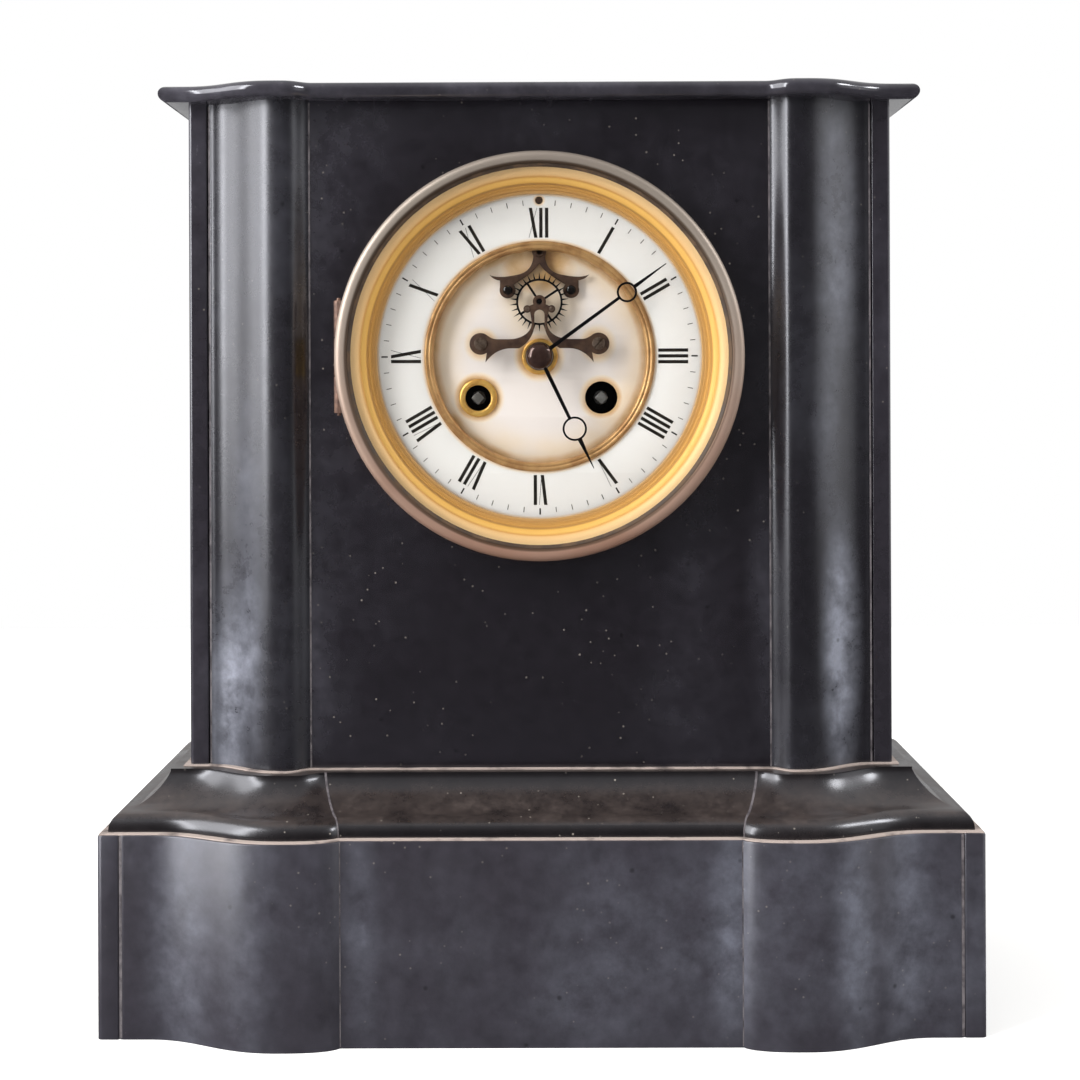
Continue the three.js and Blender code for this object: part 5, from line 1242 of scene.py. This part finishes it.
# %% Escape wheel
wheel_low, wheel_high = span("escape_wheel")
anchor_low, anchor_high = span("pallet_anchor")
cock_low, cock_high = span("escape_cock")
TEETH, TOOTH_TIP, RIM, RIM_WIDTH = 30, 11.7, 9.2, 0.8
PITCH = 2 * math.pi / TEETH
PALLET_SPAN = 11.5
PALLET_TURN = PALLET_SPAN * math.pi / TEETH
TOOTH_TURN = math.pi / 2 + PALLET_TURN + PITCH / 4
WHEEL_FRONT = disc_low.y - 4.2
TIP = TOOTH_TIP - 0.06  # a hair shorter than the solid's, so that a pallet never meets it
TOOTH = [(RIM, -0.2), (TIP, -0.015), (TIP, 0.015), (RIM, 0.16)]  # radius, and share of the pitch
teeth = []
for tooth in range(TEETH):
    for radius, side in TOOTH:
        turn = TOOTH_TURN + (tooth + side) * PITCH
        teeth.append((radius * math.cos(turn), radius * math.sin(turn)))
SPOKE, HUB, SPOKE_TURN = 0.9, 2.0, math.radians(33)
windows = []
for spoke in range(4):
    start = SPOKE_TURN + spoke * math.pi / 2
    end = start + math.pi / 2
    wide, narrow = math.asin(SPOKE / 2 / (RIM - RIM_WIDTH)), math.asin(SPOKE / 2 / HUB)
    windows.append(arc(0, 0, RIM - RIM_WIDTH, start + wide, end - wide, 16)
                   + arc(0, 0, HUB, end - narrow, start + narrow, 8))
wheel = sheet([teeth] + windows, WHEEL_FRONT, WHEEL_FRONT + 1, 0, DIAL_Z + ESCAPE_Z, arris=0.05)
arbor = rod(0.9, wheel_low.y, wheel_high.y, 0, DIAL_Z + ESCAPE_Z, 24)
collar = rod(1.7, WHEEL_FRONT - 0.3, WHEEL_FRONT + 2.2, 0, DIAL_Z + ESCAPE_Z, 24)
piece("escape_wheel_sawn", joined(wheel, arbor, collar), blued_steel, "escape_arbor", "blued_steel",
      "escape_wheel")

# %% [markdown]
# The anchor is a flat bow of browned steel that rocks over the wheel. Its two ends widen to round bosses,
# each with a black polished jewel, and holes near them take the pallets. It is drawn as half an outline
# and mirrored. A jewel is a low dome, so a short profile is spun, where a squashed ball would be too deep.

# %% Anchor
PALLET_DROP = PALLET_Z - ESCAPE_Z
BOSS_X, BOSS_Z, BOSS = 12.6, 4.75, 3.2
anchor_half = arc(0, PALLET_DROP, 2.8, math.pi / 2, -math.pi / 6, 14)
anchor_half += [(2.4, PALLET_DROP - 2.2)]
anchor_half += curve((2.4, PALLET_DROP - 2.2), (2.7, 14), (5, 11.6), (8.6, 10.9), 12)[1:]
anchor_half += curve((8.6, 10.9), (12.5, 10.1), (16.8, 9.4), (19.8, 10.9), 12)[1:]
anchor_half += curve((19.8, 10.9), (18.4, 9.2), (17.2, 8.9), (15.6, 8.6), 8)[1:]
anchor_half += arc(BOSS_X, BOSS_Z, BOSS, 0.35, -math.pi - 0.75, 28)
last = anchor_half[-1]
anchor_half += curve(last, (6.4, 9.3), (1.8, 12), (0, 15.4), 12)[1:]
PALLET_REACH = TOOTH_TIP + 0.2 + 0.6
pallets = [(s * PALLET_REACH * math.sin(PALLET_TURN), PALLET_REACH * math.cos(PALLET_TURN)) for s in (1, -1)]
anchor_outlines = [mirrored(anchor_half), circle(0, PALLET_DROP, 1.5, 24)]
anchor_outlines += [circle(x, z, 0.9, 20) for x, z in pallets]
anchor = sheet(anchor_outlines, anchor_low.y, anchor_high.y, 0, DIAL_Z + ESCAPE_Z, arris=0.15)
piece("anchor", anchor, browned_steel, "pallets", "brown_steel", "pallet_anchor")
JEWEL, DOME, SEAT = 1.9, 0.9, 0.1
dome = curve((0, -DOME), (1.2, -DOME), (JEWEL, -0.5), (JEWEL, SEAT), 8) + [(0, SEAT)]
dome = moved(dome, 0, anchor_low.y)
boss_z = DIAL_Z + ESCAPE_Z + BOSS_Z
jewels = [turned(dome, sign * BOSS_X, boss_z, 40, closed=False) for sign in (1, -1)]
piece("boss_jewels", joined(*jewels), dark_jewel, "pallets", "jewel")
hub_profile = moved([(0, -0.5), (1.7, -0.5), (2.1, -0.1), (2.1, SEAT), (0, SEAT)], 0, anchor_low.y)
hub = turned(hub_profile, 0, DIAL_Z + PALLET_Z, 32, closed=False)
piece("anchor_hub", hub, browned_steel, "pallets", "brown_steel")

# %% [markdown]
# The cock is a lyre of browned steel: a ring for the pivot at the top, two stems with ears, two arms and
# two round feet. A screw with a slotted head holds each foot, and two small ones sit at the ears. A slotted
# head is two half-discs on a thinner disc, which leaves the slot open.

# %% Cock
EAR_X, EAR_Z = 4.8, -2.9
FOOT_DROP = FOOT_Z - ESCAPE_Z
cock_half = arc(0, 0, 2.6, math.pi / 2, -0.4, 14)
cock_half += arc(EAR_X, EAR_Z, 1.5, 2.2, -2.4, 18)
cock_half += [(3, -8.5)]
cock_half += curve((3, -8.5), (3.2, -12.5), (7.5, -14.8), (12, -14.8), 12)[1:]
cock_half += [(16.5, -14.8)]
cock_half += curve((16.5, -14.8), (18, -14.8), (19, -14.4), (FOOT_X - 3.2, FOOT_DROP + 3), 8)[1:]
cock_half += arc(FOOT_X, FOOT_DROP, 4.3, 2.36, -2.2, 28)
cock_half += [(21.4, -24)]
cock_half += curve((21.4, -24), (19, -20.6), (15.5, -18.4), (11.5, -18.4), 10)[1:]
cock_half += [(8, -18.4)]
cock_half += curve((8, -18.4), (4.6, -16.6), (2, -13), (2, -9), 10)[1:]
cock_half += [(2, -5.2)]
cock_half += arc(0, -5.2, 2, 0, math.pi / 2, 8)[1:]
COCK_BACK = disc_low.y - 5.3
cock_plate = sheet([mirrored(cock_half), circle(0, 0, 1.2, 24)], cock_low.y, COCK_BACK, 0,
                   DIAL_Z + ESCAPE_Z, arris=0.2)
posts = [rod(2, COCK_BACK - 0.3, cock_high.y, sign * FOOT_X, DIAL_Z + FOOT_Z, 24) for sign in (1, -1)]
piece("cock", joined(cock_plate, *posts), browned_steel, "case", "brown_steel", "escape_cock")

# %% Screws of the cock
SLOT_FLOOR = 0.35  # the height of a slot's floor, as a share of the head's


def screw(x, z, radius, proud, slot, turn):
    """A screw head with an open slot, standing on the cock."""
    front = cock_low.y - proud
    floor_y = cock_low.y - proud * SLOT_FLOOR
    gap_turn = math.asin(slot / 2 / radius)
    halves = [arc(0, 0, radius, gap_turn, math.pi - gap_turn, 20),
              arc(0, 0, radius, math.pi + gap_turn, 2 * math.pi - gap_turn, 20)]
    head = sheet(halves, front, floor_y, x, z, turn, arris=0.1)
    return joined(head, rod(radius, floor_y - 0.01, cock_low.y + 0.2, x, z, 40))


foot_z, ear_z = DIAL_Z + FOOT_Z, DIAL_Z + ESCAPE_Z + EAR_Z
screws = [screw(-FOOT_X, foot_z, 2.5, 0.7, 0.55, math.radians(35)),
          screw(FOOT_X, foot_z, 2.5, 0.7, 0.55, math.radians(-50)),
          screw(-EAR_X, ear_z, 0.95, 0.4, 0.25, math.radians(20)),
          screw(EAR_X, ear_z, 0.95, 0.4, 0.25, math.radians(70))]
piece("cock_screws", joined(*screws), screw_steel, "case", "brown_steel")

# %% [markdown]
# ## Hands
# Moon hands: a thin stem, an open ring and a tapered tip, filed from sheet steel and blued until they
# are almost black. Each is one outline with two holes, and the sheet tool softens its edges as a file would.
# They point to about nine minutes past five. The nut that holds them is a polished dome.

# %% Hands and their nut
BLUNT = 0.15  # half the width of a hand's point


def moon_hand(length, ring_at, ring_radius, ring_bore, boss, bore, stem, neck, tip):
    """A hand that points up, as an outline and its holes."""
    stem_turn = math.asin(stem / boss)
    neck_turn = math.asin(neck / ring_radius)
    tip_turn = math.asin(tip / ring_radius)
    half = arc(0, 0, boss, -math.pi / 2, math.pi / 2 - stem_turn, 20)
    half += arc(0, ring_at, ring_radius, -math.pi / 2 + neck_turn, math.pi / 2 - tip_turn, 24)
    half += [(BLUNT, length)]
    return [mirrored(half), circle(0, 0, bore, 32), circle(0, ring_at, ring_bore, 40)]


MINUTE_TURN, HOUR_TURN = math.radians(54), math.radians(154.3)
hour_low, hour_high = span("hour_hand")
minute_low, minute_high = span("minute_hand")
hour_outline = moon_hand(49, 31.7, 4.8, 4.0, 5.6, 3.7, 0.8, 0.65, 0.9)
minute_outline = moon_hand(61.6, 42.5, 4.0, 3.15, 4.8, 2.6, 0.8, 0.6, 0.75)
hour = sheet(hour_outline, hour_low.y, hour_high.y, 0, DIAL_Z, HOUR_TURN, arris=0.1)
piece("hour_hand_filed", hour, blued_steel, "hour_pipe", "blued_steel", "hour_hand")
minute = sheet(minute_outline, minute_low.y, minute_high.y, 0, DIAL_Z, MINUTE_TURN, arris=0.1)
piece("minute_hand_filed", minute, blued_steel, "centre_arbor", "blued_steel", "minute_hand")

nut_low, nut_high = span("hand_nut")
NUT = nut_high.x
NUT_BORE, BORE_END = 1.6, nut_low.y + 1.9
cap = moved(curve((0, 0), (NUT * 0.55, 0), (NUT, 1.2), (NUT, 3.2), 14), 0, nut_low.y)
cap += [(NUT - 0.3, nut_high.y - 0.2), (NUT - 0.5, nut_high.y), (NUT_BORE, nut_high.y), (NUT_BORE, BORE_END),
        (0, BORE_END)]
nut = turned(cap, 0, DIAL_Z, 64, closed=False)
piece("nut", nut, polished_brown, "centre_arbor", "brown_steel", "hand_nut", crease=40)

# %% [markdown]
# ## Winding squares and the back
# Each winding square stands on a long arbor behind its hole, on its corner. It is a block with its edges
# eased, turned by an eighth, and a rod behind it.

# %% Winding squares
SQUARE, SQUARE_LENGTH, ARBOR = 3.8, 10, 2.7
diagonal = Matrix.Rotation(math.pi / 4, 3, "Y")
for side, body in (("going", "going_winder"), ("strike", "strike_winder")):
    low, high = span(side + "_winding_arbor")
    middle_x, middle_z = (low.x + high.x) / 2, (low.z + high.z) / 2
    half = SQUARE / 2
    square = brick((-half, low.y, -half), (half, low.y + SQUARE_LENGTH, half))
    bmesh.ops.rotate(square, cent=(0, 0, 0), matrix=diagonal, verts=square.verts[:])
    bmesh.ops.translate(square, vec=(middle_x, 0, middle_z), verts=square.verts[:])
    stem = rod(ARBOR, low.y + SQUARE_LENGTH - 1, high.y, middle_x, middle_z, 32)
    piece(side + "_square", joined(round_edges(square, 0.3, 2), stem), plain_steel, body, "steel",
          side + "_winding_arbor")

# %% [markdown]
# The back of the case has a round brass frame, and a dished cover on a hinge closes it. Both are turned work
# with small blocks and knuckles joined on. The cover rides on its own body, so it swings with the joint.

# %% Frame at the back
FLANGE, SLEEVE, REAR_BORE, COVER, FLANGE_THICK, FIT = 66.0, 58.0, 55.2, 64.0, 1.8, 0.3
frame_front = span("rear_ring")[0].y
flange_y = span("back_panel")[1].y + FIT
flange_face = flange_y + FLANGE_THICK
cover_y = flange_face + FIT
REAR_HINGE_X, REAR_HINGE_Y, REAR_HALF = FLANGE + 2.6, cover_y + 1, 16.0
third = REAR_HALF / 3
frame_profile = [(SLEEVE, frame_front), (SLEEVE, flange_y), (FLANGE, flange_y), (FLANGE, flange_face),
                 (REAR_BORE, flange_face), (REAR_BORE, frame_front)]
rear_leaf = brick((FLANGE - 1.5, flange_y, DIAL_Z - third), (REAR_HINGE_X + 1, flange_face, DIAL_Z + third))
rear_knuckle = knuckle(REAR_HINGE_X, REAR_HINGE_Y, -third, third)
back_frame = joined(rounded_ring(frame_profile, 0.3), rear_leaf, rear_knuckle)
piece("back_frame", back_frame, train_brass, "case", "brass", "rear_ring")

# %% Cover at the back
COVER_THICK, DISHED, KNOB_X = 1.4, 1, 8 - COVER
cover_back = cover_y + COVER_THICK
cover_profile = [(0, cover_y - DISHED), (REAR_BORE - 8, cover_y - DISHED), (REAR_BORE - 5, cover_y),
                 (COVER, cover_y), (COVER, cover_back), (REAR_BORE - 6, cover_back),
                 (REAR_BORE - 9, cover_back - DISHED), (0, cover_back - DISHED)]
dish = turned(cover_profile, 0, DIAL_Z, 128, closed=False)
round_edges(dish, 0.3, 2, sharper_than=50)
knob_profile = moved([(0, 2.5), (2.2, 2.4), (3, 1.6), (2.2, 0.6), (2, -0.3), (0, -0.3)], 0, cover_back)
cover_parts = [dish, turned(knob_profile, KNOB_X, DIAL_Z, 32, closed=False)]
for low, high in ((-REAR_HALF, -third - KNUCKLE_GAP), (third + KNUCKLE_GAP, REAR_HALF)):
    cover_parts += [brick((COVER - 2.5, cover_y, DIAL_Z + low), (REAR_HINGE_X, cover_back, DIAL_Z + high)),
                    knuckle(REAR_HINGE_X, REAR_HINGE_Y, low, high)]
piece("back_cover", joined(*cover_parts), train_brass, "rear_door", "brass", "rear_cover")

# %% [markdown]
# ## The movement
# The bell shows when the cover is open, so it is spun again as a cup with a fine curve.

# %% Bell
BELL_WALL, BELL_BORE = 2.0, 2.7
bell_low, bell_high = span("bell")
BELL_RADIUS = bell_high.x
outer = curve((BELL_RADIUS, bell_low.y), (BELL_RADIUS * 0.98, bell_low.y + 12),
              (BELL_RADIUS * 0.72, bell_high.y - 0.5), (BELL_BORE, bell_high.y), 16)
inner = curve((BELL_BORE, bell_high.y - BELL_WALL), (BELL_RADIUS * 0.68, bell_high.y - 2.6),
              (BELL_RADIUS * 0.9, bell_low.y + 11), (BELL_RADIUS - BELL_WALL, bell_low.y), 16)
bell_cup = turned(outer + inner, 0, DIAL_Z, 96)
piece("bell_cup", bell_cup, bell_bronze, "case", "bell_metal", "bell", crease=50)

# %% [markdown]
# Behind the winding holes the brass is painted black as shade, so the holes look deep. That is a dark spot
# round each hole on an otherwise plain brass, by distance, as on the enamel.

# %% Brass with painted shade behind the holes
HOLE_SHADE_DEPTH, HOLE_SHADE_FULL, HOLE_SHADE_EDGE = -27.5, 8, 14  # millimetres
# Painted shade: black and flat behind a hole, so the hole looks deep, and dull gold away from it.
hole_shade_brass, hole_shade_tree, hole_shade_shader = new_finish("brass_hole_painted_shade", {"Metallic": 1.0, "Roughness": 0.45})
hole_shade_at = add(hole_shade_tree, "TexCoord").outputs["Object"]
clean = []
for x in (-WINDING_X, WINDING_X):
    hole = (x * MM, HOLE_SHADE_DEPTH * MM, (DIAL_Z + WINDING_Z) * MM)
    away = add(hole_shade_tree, "VectorMath", {0: hole_shade_at, 1: hole}, operation="DISTANCE")
    clean.append(add(hole_shade_tree, "MapRange", {"Value": away.outputs["Value"], "From Min": HOLE_SHADE_FULL * MM,
                                             "From Max": HOLE_SHADE_EDGE * MM}))
least_shaded = add(hole_shade_tree, "Math", {0: clean[0], 1: clean[1]}, operation="MINIMUM")
hole_shade_mix = add(hole_shade_tree, "Mix", {0: least_shaded, MIX_A: colour("#0e0b08"), MIX_B: colour("#8f7440")},
               data_type="RGBA")
hole_shade_tree.links.new(hole_shade_mix.outputs[MIX_OUT], hole_shade_shader.inputs["Base Color"])
print("oily brass", hole_shade_brass.name)

# %% [markdown]
# The wheels, plates and pendulum keep the frame's own solids, which carry the right teeth and bores. They
# only need their metals, chosen by the slot name that each node's material carries in the frame.

# %% Metals for the rest
finish_of = {"slate": plinth_slate, "brass": train_brass, "worn_brass": door_brass, "gilt": old_gilt,
             "enamel": disc_enamel, "blued_steel": blued_steel, "brown_steel": browned_steel,
             "steel": plain_steel, "jewel": dark_jewel, "bell_metal": bell_bronze, "glass": pane}
special = {"front_plate": hole_shade_brass, "dial_pan": hole_shade_brass,
           "regulator_arbor": browned_steel, "crutch": browned_steel}
dressed = 0
for name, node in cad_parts.items():
    for place in node.material_slots:
        kind = place.material.name.split(".")[0] if place.material else "brass"
        place.material = special.get(name, finish_of.get(kind, train_brass))
        dressed += 1
print("dressed", dressed, "frame nodes")
